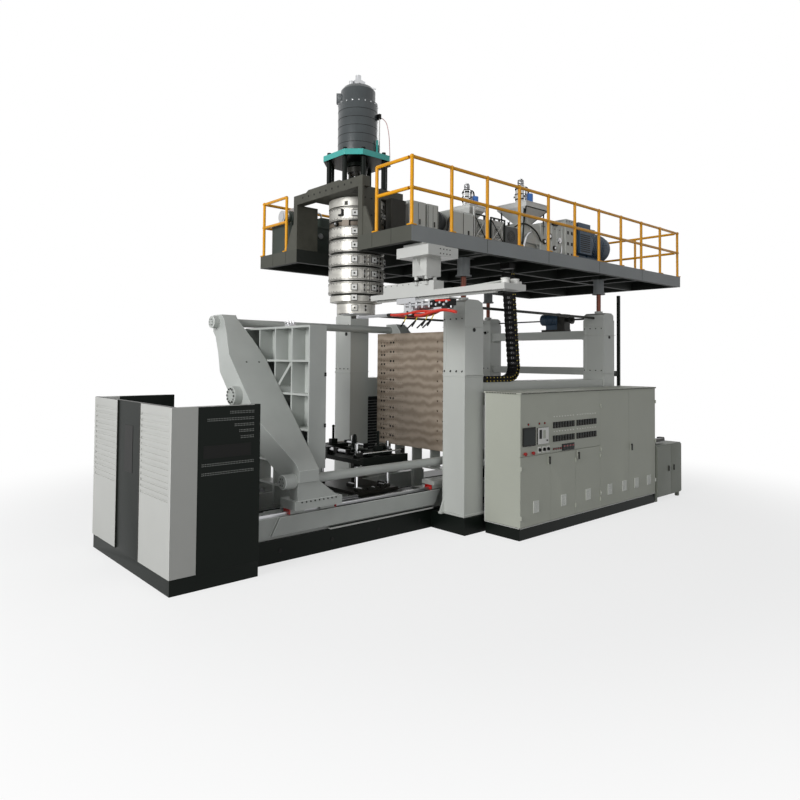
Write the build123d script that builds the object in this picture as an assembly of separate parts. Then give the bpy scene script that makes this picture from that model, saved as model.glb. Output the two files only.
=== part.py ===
from build123d import *
import math
import os

# Large blow moulding machine: a horizontal clamp between two platens, an accumulator head and
# two extruders on a lifting platform, a take-out unit, an end fence and a control cabinet.
# Millimetres. X runs along the clamp, +Y is the side away from the operator, +Z is up.
# The origin is on the floor under the axis of the head, midway between the platens.

# Clamp
clamp_z = 2030.0
clamp_stroke = 450.0
face_x = 1170.0
tie_y = 1000.0
tie_z = 1035.0
tie_r = 62.0
platen_half_w = 860.0
platen_bottom = 1080.0
platen_top = 2980.0
platen_foot = 760.0
plate_t = 60.0
rib_depth = 210.0
rib_t = 28.0
rib_levels = (1580.0, 2040.0, 2490.0)
boss_r = 170.0
hole_r = 14.0
hole_rows = 11
yoke_w = 360.0
yoke_gap = 12.0
yoke_mid_t = 550.0
yoke_end_t = 230.0
yoke_step = 150.0
yoke_low_t = 300.0
yoke_half_flat = 600.0
yoke_reach_y = 1120.0
yoke_top = 3175.0
yoke_low = 985.0
nut_r = 92.0
nut_end_x = -1925.0
nut_t = 150.0
cylinder_r = 118.0
flange_r = 125.0
cylinder_tail = 110.0
barrel_bore_r = 92.0
sleeve_r = 91.95
sleeve_bore_r = 70.0
ram_r = 69.95

# Bed and rails
base_z = 280.0
base_half_y = 940.0
base_x0 = -2600.0
gantry_x0 = 750.0
gantry_x1 = 5000.0
gantry_half_y = 1620.0
gantry_z = 250.0
bed_y_in = 520.0
bed_y_out = 940.0
bed_z0 = 330.0
bed_z1 = 550.0
bed_x0 = -1960.0
bed_x1 = 880.0
bed_slant = 120.0
core_x0 = -2480.0
core_x1 = 2050.0
core_inset = 45.0
rail_w = 53.0
rail_h = 40.0
outer_rail_y = 850.0
inner_rail_y = 620.0
shoe_z0 = 630.0
carriage_w = 140.0
carriage_l = 220.0
run_gap = 0.3

# Rack and pinion that keep the platens in step
gear_module = 10.0
gear_teeth = 16
gear_w = 56.0
gear_z = 400.0
shaft_r = 25.0
fit_gap = 0.05
rack_h = 34.0
rack_w = 56.0

# Gantry
pillar_x0 = 780.0
pillar_dx = 410.0
rear_pillar_x0 = 4580.0
rear_pillar_dx = 360.0
pillar_y0 = 1140.0
pillar_dy = 440.0
pillar_top = 3300.0
seam_z = 2280.0
wall_t = 20.0
beam_z0 = 1860.0
beam_z1 = 2200.0
cap_h = 130.0
screw_r = 40.0

# Platform
lift_travel = 350.0
deck_z = 4280.0
deck_t = 30.0
frame_z = 4070.0
platform_x0 = -600.0
platform_x1 = 6980.0
platform_half_y = 1900.0
notch_x = 760.0
notch_half_y = 780.0
edge_w = 90.0
rail_r = 21.0
rail_top = 5180.0
rail_mid = 4775.0
rail_bays = 10
rail_inset = 40.0
rail_end_y = 1150.0

# Head
head_r = 392.0
band_t = 40.0
bridge_z0 = 4985.0
bridge_t = 150.0
bridge_x0 = -600.0
bridge_beam_w = 140.0
bridge_half_y = 880.0
housing_x1 = 560.0
housing_half_y = 455.0
die_r = 300.0
die_z = 3229.0
core_r = 232.0
top_plate_z = 5590.0
top_plate_t = 90.0
top_plate_half = 465.0
top_plate_cut = 200.0
column_near = 200.0
column_far = 400.0
column_r = 38.0
ram_cyl_r = 310.0
ram_cyl_top_r = 272.0
ram_cyl_seam = 6530.0
ram_cyl_z1 = 6790.0
head_top = 7000.0
shot_stroke = 270.0
shot_rod_r = 95.0
crosshead_z = 5440.0
push_rod_r = 24.0
push_rod_at = 118.0
push_rod_end = 4700.0
core_stroke = 25.0
core_shank_r = 110.0

# Extruders
extruder_y = 650.0
barrel_z = 4740.0
axis_z = 4850.0

# Control cabinet
cab_x0 = 1130.0
cab_x1 = 5050.0
cab_y0 = -2320.0
cab_y1 = -1670.0
cab_z1 = 2050.0
cab_plinth = 180.0
sheet_t = 20.0
door_seams = (1150.0, 1860.0, 2500.0, 3210.0, 4120.0, 5030.0)
low_door_z1 = 1170.0
door_gap = 4.0
stem_r = 11.0
button_spots = ((1215.0, 1210.0), (1400.0, 1210.0))
selector_spots = ((1575.0, 1240.0), (1685.0, 1240.0), (1785.0, 1240.0))
handle_r = 9.0
handle_z = 1112.0
handle_inset = 60.0
# The hinge pins stand far enough before the doors that two open doors clear each other's handles
hinge_r = 4.0
hinge_reach = 17.0
hinge_l = 60.0

# Spreader and take-out
table_half_x = 430.0
table_half_y = 750.0
table_z = 1020.0
table_t = 100.0
post_r = 25.0
takeout_z = 3380.0

# End fence
fence_x0 = -3450.0
fence_x1 = -2380.0
fence_half_y = 1250.0
fence_z1 = 2000.0
fence_t = 60.0
fence_plinth = 180.0


def block(x0, x1, y0, y1, z0, z1):
    """Box between two corners."""
    centre = ((x0 + x1) / 2, (y0 + y1) / 2, (z0 + z1) / 2)
    return Pos(*centre) * Box(abs(x1 - x0), abs(y1 - y0), abs(z1 - z0))


def rod(start, end, radius):
    """Round bar from one point to another."""
    axis = Vector(*end) - Vector(*start)
    return Solid.make_cylinder(radius, axis.length, Plane(origin=start, z_dir=axis))


def prism(points, plane, low, high):
    """Outline drawn on a plane through the origin, extruded from low to high along its normal."""
    face = make_face(Polyline(*points, close=True))
    return extrude(plane.offset(low) * face, high - low)


def side_plate(points, y0, y1):
    """Plate whose outline is given as (x, z) points."""
    return prism(points, Plane(origin=(0, 0, 0), x_dir=(1, 0, 0), z_dir=(0, -1, 0)), -y1, -y0)


def cross_plate(points, x0, x1):
    """Plate whose outline is given as (y, z) points."""
    return prism(points, Plane(origin=(0, 0, 0), x_dir=(0, 1, 0), z_dir=(1, 0, 0)), x0, x1)


def revolve_z(points):
    """Turned piece about Z from an (r, z) outline."""
    face = make_face(Polyline(*[(r, 0, z) for r, z in points], close=True))
    return revolve(face, Axis.Z)


def both_sides(piece):
    """The piece and its mirror image across the clamp's middle plane."""
    return [piece, mirror(piece, Plane.XZ)]


def fuse(*pieces):
    """One solid from touching pieces."""
    result = pieces[0]
    for piece in pieces[1:]:
        result = result + piece
    return result


def save(name, *pieces):
    """Write one sub-part as its own STEP file."""
    solids = []
    for piece in pieces:
        solids.extend(piece.solids())
    shape = solids[0] if len(solids) == 1 else Compound(children=solids)
    export_step(shape, f"parts/{name}.step")


os.makedirs("parts", exist_ok=True)


def base_frame():
    """Black floor frame under the clamp, the gantry and the cabinet, with the pinion's cheeks."""
    rails = [
        block(base_x0, gantry_x0, base_half_y - 200, base_half_y, 0, base_z),
        block(base_x0, gantry_x0, -base_half_y, -base_half_y + 200, 0, base_z),
    ]
    crosses = [block(x, x + 180, -base_half_y + 100, base_half_y - 100, 0, base_z - 20)
               for x in (base_x0, -1700, -900, -90)]
    gantry = []
    for side in (1, -1):
        y_out = side * gantry_half_y
        y_in = side * (base_half_y - 200)
        gantry.append(block(gantry_x0, gantry_x1, y_out, side * (gantry_half_y - 500), 0, gantry_z))
        gantry.append(block(gantry_x0, core_x1 + 60, y_in, side * base_half_y, 0, base_z))
        gantry.append(block(gantry_x0, gantry_x0 + 460, y_out, y_in, 0, gantry_z))
    for x in (core_x1 - 200, gantry_x1 - 400):
        gantry.append(block(x, x + 260, -gantry_half_y + 100, gantry_half_y - 100, 0, gantry_z))
    cheek = block(-50, 50, rack_w / 2 + 12, rack_w / 2 + 52, base_z - 30, gear_z + 55)
    bore = rod((0, -200, gear_z), (0, 200, gear_z), shaft_r + fit_gap)
    cheeks = [piece - bore for piece in both_sides(cheek)]
    # Ties to the end fence
    fence_ties = both_sides(block(base_x0 + 20, base_x0 + 160, base_half_y - 20, fence_half_y - fence_t, 0, 90))
    plinth = block(cab_x0, cab_x1, cab_y0 + 15, cab_y1 - 15, 0, cab_plinth)
    link = block(cab_x0 + 400, cab_x0 + 600, cab_y1 - 30, -gantry_half_y + 20, 0, cab_plinth - 60)
    save("base_frame", fuse(*rails, *crosses, *gantry, *cheeks, *fence_ties, plinth, link))


def guide_bed(side):
    """One bed beam: a skirt with slanted ends round a longer core."""
    outline = [
        (bed_x0 - bed_slant / 2, bed_z0),
        (bed_x0 + bed_slant / 2, bed_z1),
        (bed_x1 + bed_slant / 2, bed_z1),
        (bed_x1 - bed_slant / 2, bed_z0),
    ]
    y0, y1 = sorted((side * bed_y_in, side * bed_y_out))
    skirt = side_plate(outline, y0, y1)
    core = block(core_x0, core_x1, y0 + core_inset, y1 - core_inset, base_z, bed_z1)
    return skirt + core


def linear_rails():
    """Four ground rails: the outer pair carries the yokes, the inner pair the left platen."""
    rails = []
    for side in (1, -1):
        for y, x0, x1 in ((outer_rail_y, core_x0 + 20, core_x1 - 20), (inner_rail_y, -1700, -430)):
            profile = block(x0, x1, side * y - rail_w / 2, side * y + rail_w / 2, bed_z1, bed_z1 + rail_h)
            neck = 8.0
            for edge in (1, -1):
                y_edge = side * y + edge * rail_w / 2
                profile -= block(x0, x1, y_edge - edge * neck, y_edge + edge, bed_z1 + 10, bed_z1 + 24)
            rails.append(profile)
    save("linear_rails", *rails)


def carriage(x, y):
    """Carriage block over a rail, centred at x."""
    body = block(x - carriage_l / 2, x + carriage_l / 2, y - carriage_w / 2, y + carriage_w / 2,
                 bed_z1 + 12, shoe_z0)
    slot = block(x - carriage_l, x + carriage_l, y - rail_w / 2 - run_gap, y + rail_w / 2 + run_gap,
                 bed_z1, bed_z1 + rail_h + run_gap)
    return body - slot


def shoe(x0, x1, y_rail, y0, y1, plate_z):
    """Bolted foot plate on two carriages."""
    plate = block(x0, x1, y0, y1, shoe_z0, plate_z)
    return fuse(plate, carriage(x0 + carriage_l / 2 + 20, y_rail), carriage(x1 - carriage_l / 2 - 20, y_rail))


def platen(direction):
    """Ribbed platen with its mounting face at face_x, seen from the middle."""
    back = face_x + plate_t + rib_depth
    face = block(face_x, face_x + plate_t, -platen_half_w, platen_half_w, platen_bottom, platen_top)
    ribs = []
    rib_x0 = face_x + plate_t
    step = platen_half_w / 2
    for count in range(5):
        y = -platen_half_w + count * step
        y0 = min(max(y - rib_t / 2, -platen_half_w), platen_half_w - rib_t)
        ribs.append(block(rib_x0, back, y0, y0 + rib_t, platen_foot, platen_top))
    levels = (platen_foot, platen_bottom, *rib_levels, platen_top - rib_t)
    for level in levels:
        ribs.append(block(rib_x0, back, -platen_half_w, platen_half_w, level, level + rib_t))
    boss = rod((rib_x0, 0, clamp_z), (back, 0, clamp_z), boss_r)
    brace_outline = [(-step, rib_levels[2] - 30), (-step + 30, rib_levels[2]), (30, rib_levels[1] + 30),
                     (0, rib_levels[1])]
    brace = cross_plate(brace_outline, rib_x0 + 40, back)
    whole = fuse(face, *ribs, boss, brace)
    pitch = (platen_top - platen_bottom) / (hole_rows + 1)
    holes = []
    for row in range(hole_rows):
        z = platen_bottom + (row + 1) * pitch
        for y in (-760, -640, 520, 600, 680, 760):
            holes.append(rod((face_x - 1, y, z), (face_x + plate_t * 0.6, y, z), hole_r))
    whole = whole - Compound(children=holes)
    if direction < 0:
        whole = mirror(whole, Plane.YZ)
    return whole


def rack_bar(x0, x1, pitch_z, up):
    """Toothed bar along X: teeth point up or down from a body beyond the pitch line."""
    pitch = math.pi * gear_module
    addendum = 0.85 * gear_module
    dedendum = 1.2 * gear_module
    half_pitch_land = pitch / 4 - 0.7
    slope = math.tan(math.radians(20))
    side = 1 if up else -1
    root_z = pitch_z - side * dedendum
    body = block(x0, x1, -rack_w / 2, rack_w / 2, root_z, root_z - side * rack_h)
    tip_half = half_pitch_land - addendum * slope
    root_half = half_pitch_land + dedendum * slope
    tip_z = pitch_z + side * addendum
    teeth = []
    first = math.ceil((x0 + root_half) / pitch - 0.5)
    last = math.floor((x1 - root_half) / pitch - 0.5)
    for index in range(first, last + 1):
        x = (index + 0.5) * pitch
        outline = [(x - root_half, root_z - side), (x - tip_half, tip_z), (x + tip_half, tip_z),
                   (x + root_half, root_z - side)]
        teeth.append(side_plate(outline, -rack_w / 2, rack_w / 2))
    return body, teeth


def pinion():
    """Involute pinion on its shaft, axis along Y."""
    pitch_r = gear_module * gear_teeth / 2
    base_r = pitch_r * math.cos(math.radians(20))
    tip_r = pitch_r + 0.85 * gear_module
    root_r = pitch_r - 1.2 * gear_module
    lash = 0.7 / pitch_r
    involute_pitch = math.tan(math.acos(base_r / pitch_r)) - math.acos(base_r / pitch_r)
    half_angle = math.pi / (2 * gear_teeth) - lash + involute_pitch
    outline = []
    for tooth in range(gear_teeth):
        middle = tooth * 2 * math.pi / gear_teeth
        flank = []
        for step in range(6):
            radius = base_r + (tip_r - base_r) * step / 5
            roll = math.acos(base_r / radius)
            flank.append((radius, half_angle - (math.tan(roll) - roll)))
        left = [(root_r, half_angle)] + flank
        right = [(radius, -angle) for radius, angle in reversed(left)]
        for radius, angle in [(r, -a) for r, a in left] + [(r, -a) for r, a in right]:
            outline.append((radius * math.cos(middle + angle), radius * math.sin(middle + angle)))
    wheel = extrude(make_face(Polyline(*outline, close=True)), gear_w)
    wheel = Pos(0, gear_w / 2, gear_z) * Rot(90, 0, 0) * wheel
    shaft = rod((0, -92, gear_z), (0, 92, gear_z), shaft_r)
    return wheel + shaft


def yoke(front_x, direction):
    """Diagonal box girder that joins the ends of the two tie bars behind a platen."""
    length = math.hypot(tie_y, tie_z)
    over = 170.0
    back_x = front_x + yoke_mid_t
    upper_x = front_x + yoke_step
    outline = [
        (front_x, 500),
        (front_x + 50, 860),
        (upper_x, length - 130),
        (upper_x, length + over),
        (upper_x + yoke_end_t, length + over),
        (upper_x + yoke_end_t, length - 130),
        (back_x - 100, 980),
        (back_x, yoke_half_flat),
        (back_x, -yoke_half_flat),
        (front_x + yoke_low_t, 130 - length),
        (front_x + yoke_low_t, -length - over),
        (front_x, -length - over),
    ]
    girder = side_plate(outline, -yoke_w / 2, yoke_w / 2)
    tilt = math.degrees(math.atan2(tie_y, tie_z))
    girder = Pos(0, 0, clamp_z) * Rot(-tilt, 0, 0) * girder
    girder = girder & block(front_x - 10, back_x + 10, -yoke_reach_y, yoke_reach_y, yoke_low, yoke_top)
    bars = [rod((front_x - 20, s * tie_y, clamp_z + s * tie_z), (back_x, s * tie_y, clamp_z + s * tie_z), tie_r)
            for s in (1, -1)]
    girder = girder - Compound(children=bars)
    if direction < 0:
        girder = mirror(girder, Plane.YZ)
    return girder


def clamp_unit():
    """Everything of the clamp that slides along the bed."""
    platen_back = face_x + plate_t + rib_depth
    front = platen_back + yoke_gap
    back = front + yoke_mid_t
    bore = rod((-back - 5, 0, clamp_z), (-front + 5, 0, clamp_z), cylinder_r)
    foot = shoe(-1770, -1040, -outer_rail_y, -1070, -725, shoe_z0 + 115)
    pedestal = side_plate([(-1730, shoe_z0 + 115), (-1735, yoke_low), (-1430, yoke_low), (-1110, shoe_z0 + 115)],
                          -1065, -880)
    passage = rod((-2200, -tie_y, clamp_z - tie_z), (-900, -tie_y, clamp_z - tie_z), tie_r)
    save("left_yoke", fuse(yoke(front, -1) - bore, foot, pedestal) - passage)
    right_front = platen_back
    save("right_yoke", yoke(right_front, 1))
    bars = []
    nuts = []
    for s in (1, -1):
        y = s * tie_y
        z = clamp_z + s * tie_z
        left_seat = -front - (yoke_step + yoke_end_t if s > 0 else yoke_low_t)
        right_seat = right_front + (yoke_step + yoke_end_t if s > 0 else yoke_low_t)
        bars.append(rod((nut_end_x - 8, y, z), (right_seat + nut_t + 10, y, z), tie_r))
        for x, end in ((left_seat, nut_end_x), (right_seat, right_seat + nut_t)):
            nut = rod((x, y, z), (end, y, z), nut_r)
            nuts.append(nut - rod((x - 300, y, z), (x + 300, y, z), tie_r))
    save("tie_bars", *bars)
    save("tie_bar_nuts", *nuts)
    # The clamp cylinder has a two-stage ram, so that its short barrel gives the full travel
    tail = -back - cylinder_tail
    mouth = -front
    barrel = rod((tail, 0, clamp_z), (mouth, 0, clamp_z), cylinder_r)
    flange = rod((tail, 0, clamp_z), (-back, 0, clamp_z), flange_r)
    bolts = []
    for index in range(12):
        angle = math.radians(30 * index)
        ring_r = (flange_r - 20) if index % 2 else (flange_r - 62)
        y = ring_r * math.cos(angle)
        z = clamp_z + ring_r * math.sin(angle)
        bolts.append(rod((tail - 12, y, z), (tail, y, z), 10))
    barrel_bore = rod((tail + 25, 0, clamp_z), (mouth + 10, 0, clamp_z), barrel_bore_r)
    save("clamp_cylinder", fuse(barrel, flange, *bolts) - barrel_bore)
    sleeve = rod((tail + 30, 0, clamp_z), (mouth - 5, 0, clamp_z), sleeve_r)
    sleeve_bore = rod((tail + 45, 0, clamp_z), (mouth + 10, 0, clamp_z), sleeve_bore_r)
    save("ram_sleeve", sleeve - sleeve_bore)
    save("clamp_ram", rod((tail + 50, 0, clamp_z), (-platen_back, 0, clamp_z), ram_r))
    # Platens with their shoes and racks
    bracket_x0 = face_x + plate_t
    pitch_r = gear_module * gear_teeth / 2
    bar, teeth = rack_bar(-platen_back, 60, gear_z + pitch_r, False)
    hanger = block(-platen_back, -bracket_x0, -rack_w / 2, rack_w / 2, gear_z + pitch_r + 12, platen_foot)
    shoes = [shoe(-1560, -1000, s * inner_rail_y, s * inner_rail_y - 95, s * inner_rail_y + 95, shoe_z0 + 60)
             for s in (1, -1)]
    risers = [block(-platen_back, -bracket_x0, s * inner_rail_y - 80, s * inner_rail_y + 80, shoe_z0 + 60,
                    platen_foot) for s in (1, -1)]
    save("left_platen", fuse(platen(-1), *risers), *shoes, fuse(hanger, bar, *teeth))
    bar, teeth = rack_bar(-60, platen_back, gear_z - pitch_r, True)
    hanger = block(bracket_x0, platen_back, -rack_w / 2, rack_w / 2, gear_z - pitch_r - 40, platen_foot)
    shoes = [shoe(760, 1600, s * outer_rail_y, s * outer_rail_y - 130, s * outer_rail_y + 130, shoe_z0 + 60)
             for s in (1, -1)]
    risers = [block(bracket_x0, platen_back, s * (platen_half_w - 120), s * platen_half_w, shoe_z0 + 60,
                    platen_foot) for s in (1, -1)]
    save("right_platen", fuse(platen(1), *risers), *shoes, fuse(hanger, bar, *teeth))
    save("sync_pinion", pinion())


def pillar(x0, dx, rear):
    """Hollow pillar on the +Y side with a stepped cover panel and foot gussets."""
    y0 = pillar_y0
    y1 = pillar_y0 + pillar_dy
    z0 = gantry_z
    tube = block(x0, x0 + dx, y0, y1, z0, pillar_top)
    tube -= block(x0 + wall_t, x0 + dx - wall_t, y0 + wall_t, y1 - wall_t, z0 + 40, pillar_top - 40)
    tube -= rod((x0 + dx / 2, (y0 + y1) / 2, pillar_top - 60), (x0 + dx / 2, (y0 + y1) / 2, pillar_top + 10),
                screw_r + 6)
    panel_in = 60.0
    recess = 8.0
    tube -= block(x0 - 1, x0 + recess, y0 + panel_in, y1 - panel_in, seam_z + 60, pillar_top - 120)
    parts = [tube]
    foot = block(x0 - 20, x0 + dx + 20, y0 - 15, y1 + 15, z0, z0 + 30)
    parts.append(foot - block(x0 + wall_t, x0 + dx - wall_t, y0 + wall_t, y1 - wall_t, z0 - 1, z0 + 31))
    if not rear:
        band = block(x0 - 6, x0 + dx, y0, y1 + 6, seam_z, seam_z + 22)
        parts.append(band - block(x0 + 1, x0 + dx + 1, y0 - 1, y1 - 1, seam_z - 5, seam_z + 40))
        gusset = side_plate([(x0 + 1, z0 + 30), (x0 - 90, z0 + 30), (x0 + 1, z0 + 230)], y0 + 20, y0 + 45)
        parts.append(gusset)
        parts.append(block(x0 - 90, x0 + 1, y0, y0 + 65, z0, z0 + 30))
    return fuse(*parts)


def gantry():
    """Pillars, the beams between them, the jack gearboxes and the lift drive."""
    front = pillar(pillar_x0, pillar_dx, False)
    rear = pillar(rear_pillar_x0, rear_pillar_dx, True)
    beams = [*both_sides(front), *both_sides(rear)]
    side_beam = block(pillar_x0 + pillar_dx, rear_pillar_x0, pillar_y0 + 20, pillar_y0 + pillar_dy - 20,
                      beam_z0, beam_z1)
    inner = block(pillar_x0 + pillar_dx - 1, rear_pillar_x0 + 1, pillar_y0 + 40, pillar_y0 + pillar_dy - 40,
                  beam_z0 + 20, beam_z1 - 20)
    beams.extend(both_sides(side_beam - inner))
    for z0, z1, drop in ((2950, 3110, 40), (2270, 2410, 0)):
        outline = [(-pillar_y0, z0 - drop), (-pillar_y0, z1), (pillar_y0, z1), (pillar_y0, z0 - drop)]
        if drop:
            outline += [(pillar_y0 - 80, z0), (-pillar_y0 + 80, z0)]
        beams.append(cross_plate(outline, rear_pillar_x0 + 60, rear_pillar_x0 + 260))
    save("gantry", *beams)
    boxes = []
    for x0, dx in ((pillar_x0, pillar_dx), (rear_pillar_x0, rear_pillar_dx)):
        middle = x0 + dx / 2
        y = pillar_y0 + pillar_dy / 2
        outline = [(x0 + 10, pillar_top), (x0 + 10, pillar_top + 90), (middle - 90, pillar_top + cap_h),
                   (middle + 90, pillar_top + cap_h), (x0 + dx - 10, pillar_top + 90), (x0 + dx - 10, pillar_top)]
        cap = side_plate(outline, pillar_y0 + 10, pillar_y0 + pillar_dy - 10)
        collar = rod((middle, y, pillar_top + cap_h - 5), (middle, y, pillar_top + cap_h + 40), 75)
        hole = rod((middle, y, pillar_top - 5), (middle, y, pillar_top + cap_h + 60), screw_r + run_gap)
        boxes.extend(both_sides(cap + collar - hole))
    save("lift_drive", *boxes, *lift_drive())


def lift_drive():
    """Geared motor on the rear beam with the cross shaft and the two line shafts to the front jacks."""
    x = rear_pillar_x0 + 160
    seat = 3110.0
    shaft_z = pillar_top + 40
    base = block(x - 110, x + 110, -690, -150, seat, seat + 40)
    motor = rod((x, -520, shaft_z + 10), (x, -180, shaft_z + 10), 120)
    fins = [rod((x, -500 + 40 * i, shaft_z + 10), (x, -486 + 40 * i, shaft_z + 10), 130) for i in range(7)]
    cowl = rod((x, -180, shaft_z + 10), (x, -110, shaft_z + 10), 112)
    foot = block(x - 60, x + 60, -500, -220, seat + 35, shaft_z - 60)
    gearbox = block(x - 100, x + 100, -680, -515, seat + 35, shaft_z + 110)
    disc = rod((x, -800, shaft_z), (x, -775, shaft_z), 85)
    hub = rod((x, -830, shaft_z), (x, -670, shaft_z), 40)
    near = rod((x, -pillar_y0 - 10, shaft_z), (x, -670, shaft_z), 18)
    x_far = x + 150
    far = rod((x_far, -520, shaft_z), (x_far, pillar_y0 + 10, shaft_z), 14)
    far_box = block(x + 95, x_far + 40, -600, -515, shaft_z - 60, shaft_z + 60)
    unit = fuse(base, motor, *fins, cowl, foot, gearbox, disc, hub, near, far_box, far)
    lines = []
    for side in (1, -1):
        y = side * (pillar_y0 + pillar_dy / 2)
        lines.append(rod((pillar_x0 + pillar_dx - 10, y, shaft_z), (rear_pillar_x0 + 10, y, shaft_z), 22))
    return [unit] + lines


def end_fence():
    """U-shaped sheet-metal guard round the yoke's end."""
    louvre_h = 28.0
    light = []
    corner_w = 240.0
    strip = 740.0
    z0 = fence_plinth
    for side in (1, -1):
        y_out = side * fence_half_y
        y_in = side * (fence_half_y - fence_t)
        front = block(fence_x0, fence_x0 + fence_t, y_out, side * strip / 2, z0, fence_z1)
        wing = block(fence_x0, fence_x0 + corner_w + fence_t, y_out, y_in, z0, fence_z1)
        panel = fuse(front, wing)
        y_a, y_b = sorted((side * (strip / 2 + 40), side * (fence_half_y - 60)))
        cuts = [block(fence_x0 - 1, fence_x0 + 10, y_a, y_b, z, z + louvre_h)
                for z in [fence_z1 - 130 - 68 * i for i in range(14)]]
        light.append(panel - Compound(children=cuts))
    save("fence_light_panels", *light)
    dark = [block(fence_x0 + 8, fence_x0 + fence_t, -strip / 2, strip / 2, z0, fence_z1)]
    for side in (1, -1):
        y_out = side * (fence_half_y - 4)
        y_in = side * (fence_half_y - fence_t)
        dark.append(block(fence_x0 + corner_w + fence_t, fence_x1, y_out, y_in, z0, fence_z1))
    plinth = block(fence_x0 + 12, fence_x1, -fence_half_y + 12, fence_half_y - 12, 0, z0)
    inside = block(fence_x0 + fence_t, fence_x1 + 10, -fence_half_y + fence_t, fence_half_y - fence_t, -1, z0 + 1)
    save("fence_dark_panels", fuse(*dark, plinth - inside))


def cabinet():
    """Control cabinet: open shell, instrument panel, doors, switchgear and the controls."""
    shell = block(cab_x0, cab_x1, cab_y0 + sheet_t, cab_y1, cab_plinth, cab_z1)
    inside = block(cab_x0 + sheet_t, cab_x1 - sheet_t, cab_y0, cab_y1 - sheet_t, cab_plinth + sheet_t,
                   cab_z1 - sheet_t)
    roof = block(cab_x0 - 15, cab_x1 + 15, cab_y0 - 15, cab_y1 + 15, cab_z1, cab_z1 + 25)
    mullion = block(door_seams[3] - 15, door_seams[3] + 15, cab_y0 + sheet_t, cab_y0 + 90, cab_plinth, cab_z1)
    low_mullion = block(door_seams[2] - 15, door_seams[2] + 15, cab_y0 + sheet_t, cab_y0 + 90, cab_plinth,
                        low_door_z1)
    sill = block(cab_x0, door_seams[3], cab_y0 + sheet_t, cab_y0 + 90, low_door_z1 - 15, low_door_z1 + 15)
    save("control_cabinet", fuse(shell - inside, roof, mullion, low_mullion, sill))
    back = cab_y1 - sheet_t
    plate = block(cab_x0 + 80, cab_x1 - 80, back - 15, back, 400, 1900)
    gear = []
    for row, z in enumerate((500, 800, 1100, 1400)):
        for column in range(10):
            x = cab_x0 + 200 + column * 360
            if abs(x - door_seams[3]) < 200:
                continue
            gear.append(block(x, x + 220, back - 15 - 110, back - 14, z, z + 160 - 20 * (row % 2)))
    save("switchgear", fuse(plate, *gear))
    front = cab_y0 + sheet_t
    panel = block(cab_x0, door_seams[3] - door_gap / 2, cab_y0, front, low_door_z1 + door_gap, cab_z1)
    for x, z in (*button_spots, *selector_spots):
        panel -= rod((x, cab_y0 - 5, z), (x, front + 5, z), stem_r + fit_gap)
    instruments = [
        block(1180, 1460, cab_y0 - 12, cab_y0, 1320, 1570),
        block(1520, 1780, cab_y0 - 14, cab_y0, 1320, 1560),
        block(2140, 2460, cab_y0 - 12, cab_y0, 1170 + 10, 1280),
    ]
    for x0 in (1910, 2530):
        for column in range(8):
            for z in (1530, 1330):
                x = x0 + column * 72
                instruments.append(block(x, x + 48, cab_y0 - 14, cab_y0, z, z + 90))
    save("instrument_panel", fuse(panel, *instruments))
    names = ("door_one", "door_two", "door_three", "door_four", "door_five")
    handles = {0: -1, 2: 1, 4: 1}
    hinge_sides = (-1, 1, 1, -1, 1)
    for index, name in enumerate(names):
        x0 = door_seams[index] + door_gap / 2
        x1 = door_seams[index + 1] - door_gap / 2
        if index == 0:
            x0 = cab_x0
        if index == 4:
            x1 = cab_x1
        z1 = low_door_z1 - door_gap if index < 3 else cab_z1 - 2
        leaf = block(x0, x1, cab_y0, front - run_gap, cab_plinth + 2, z1)
        x_pin = x1 - hinge_r if hinge_sides[index] > 0 else x0 + hinge_r
        y_pin = cab_y0 - hinge_reach
        for z in (290, 980) if index < 3 else (380, 1080, 1780):
            leaf += rod((x_pin, y_pin, z), (x_pin, y_pin, z + hinge_l), hinge_r)
            leaf += block(x_pin - hinge_r, x_pin + hinge_r, y_pin, cab_y0, z, z + hinge_l)
        vents = ((x0 + x1) / 2,) if index != 4 else (x0 + 250, x0 + 690)
        if index == 3:
            vents = (x0 + 290, x0 + 750)
        for vent in vents:
            leaf += block(vent - 65, vent + 65, cab_y0 - 10, cab_y0, 350, 520)
            for slot in range(4):
                z = 375 + 34 * slot
                leaf -= block(vent - 48, vent + 48, cab_y0 - 11, cab_y0 - 3, z, z + 16)
        if index in handles:
            x = x1 - handle_inset if handles[index] < 0 else x0 + handle_inset
            leaf += block(x - 17, x + 17, cab_y0 - 12, cab_y0, 1005, 1145)
            leaf -= rod((x, cab_y0 - 15, handle_z), (x, front + 5, handle_z), handle_r + fit_gap)
            spindle = rod((x, cab_y0 - 30, handle_z), (x, cab_y0 + 28, handle_z), handle_r)
            reach = x - handles[index] * 30
            near = x + handles[index] * 14
            cam = block(min(near, reach), max(near, reach), front + 1, front + 7, handle_z - 12, handle_z + 12)
            lever = block(x - 11, x + 11, cab_y0 - 38, cab_y0 - 24, 1015, handle_z + 14)
            save(name.replace("door", "handle"), fuse(spindle, cam, lever))
        save(name, leaf)


def controls():
    """Selector knobs and mushroom push buttons on the instrument panel."""
    for number, (x, z) in zip(("one", "two", "three"), selector_spots):
        stem = rod((x, cab_y0 - 10, z), (x, cab_y0 + 40, z), stem_r)
        bezel = rod((x, cab_y0 - 12, z), (x, cab_y0 - 0.5, z), 26)
        grip = block(x - 8, x + 8, cab_y0 - 32, cab_y0 - 10, z - 22, z + 22)
        save(f"selector_{number}", fuse(stem, bezel, grip))
    for number, (x, z) in zip(("one", "two"), button_spots):
        stem = rod((x, cab_y0 - 30, z), (x, cab_y0 + 40, z), stem_r)
        cap = rod((x, cab_y0 - 42, z), (x, cab_y0 - 22, z), 26)
        save(f"push_button_{number}", fuse(stem, cap))


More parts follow.
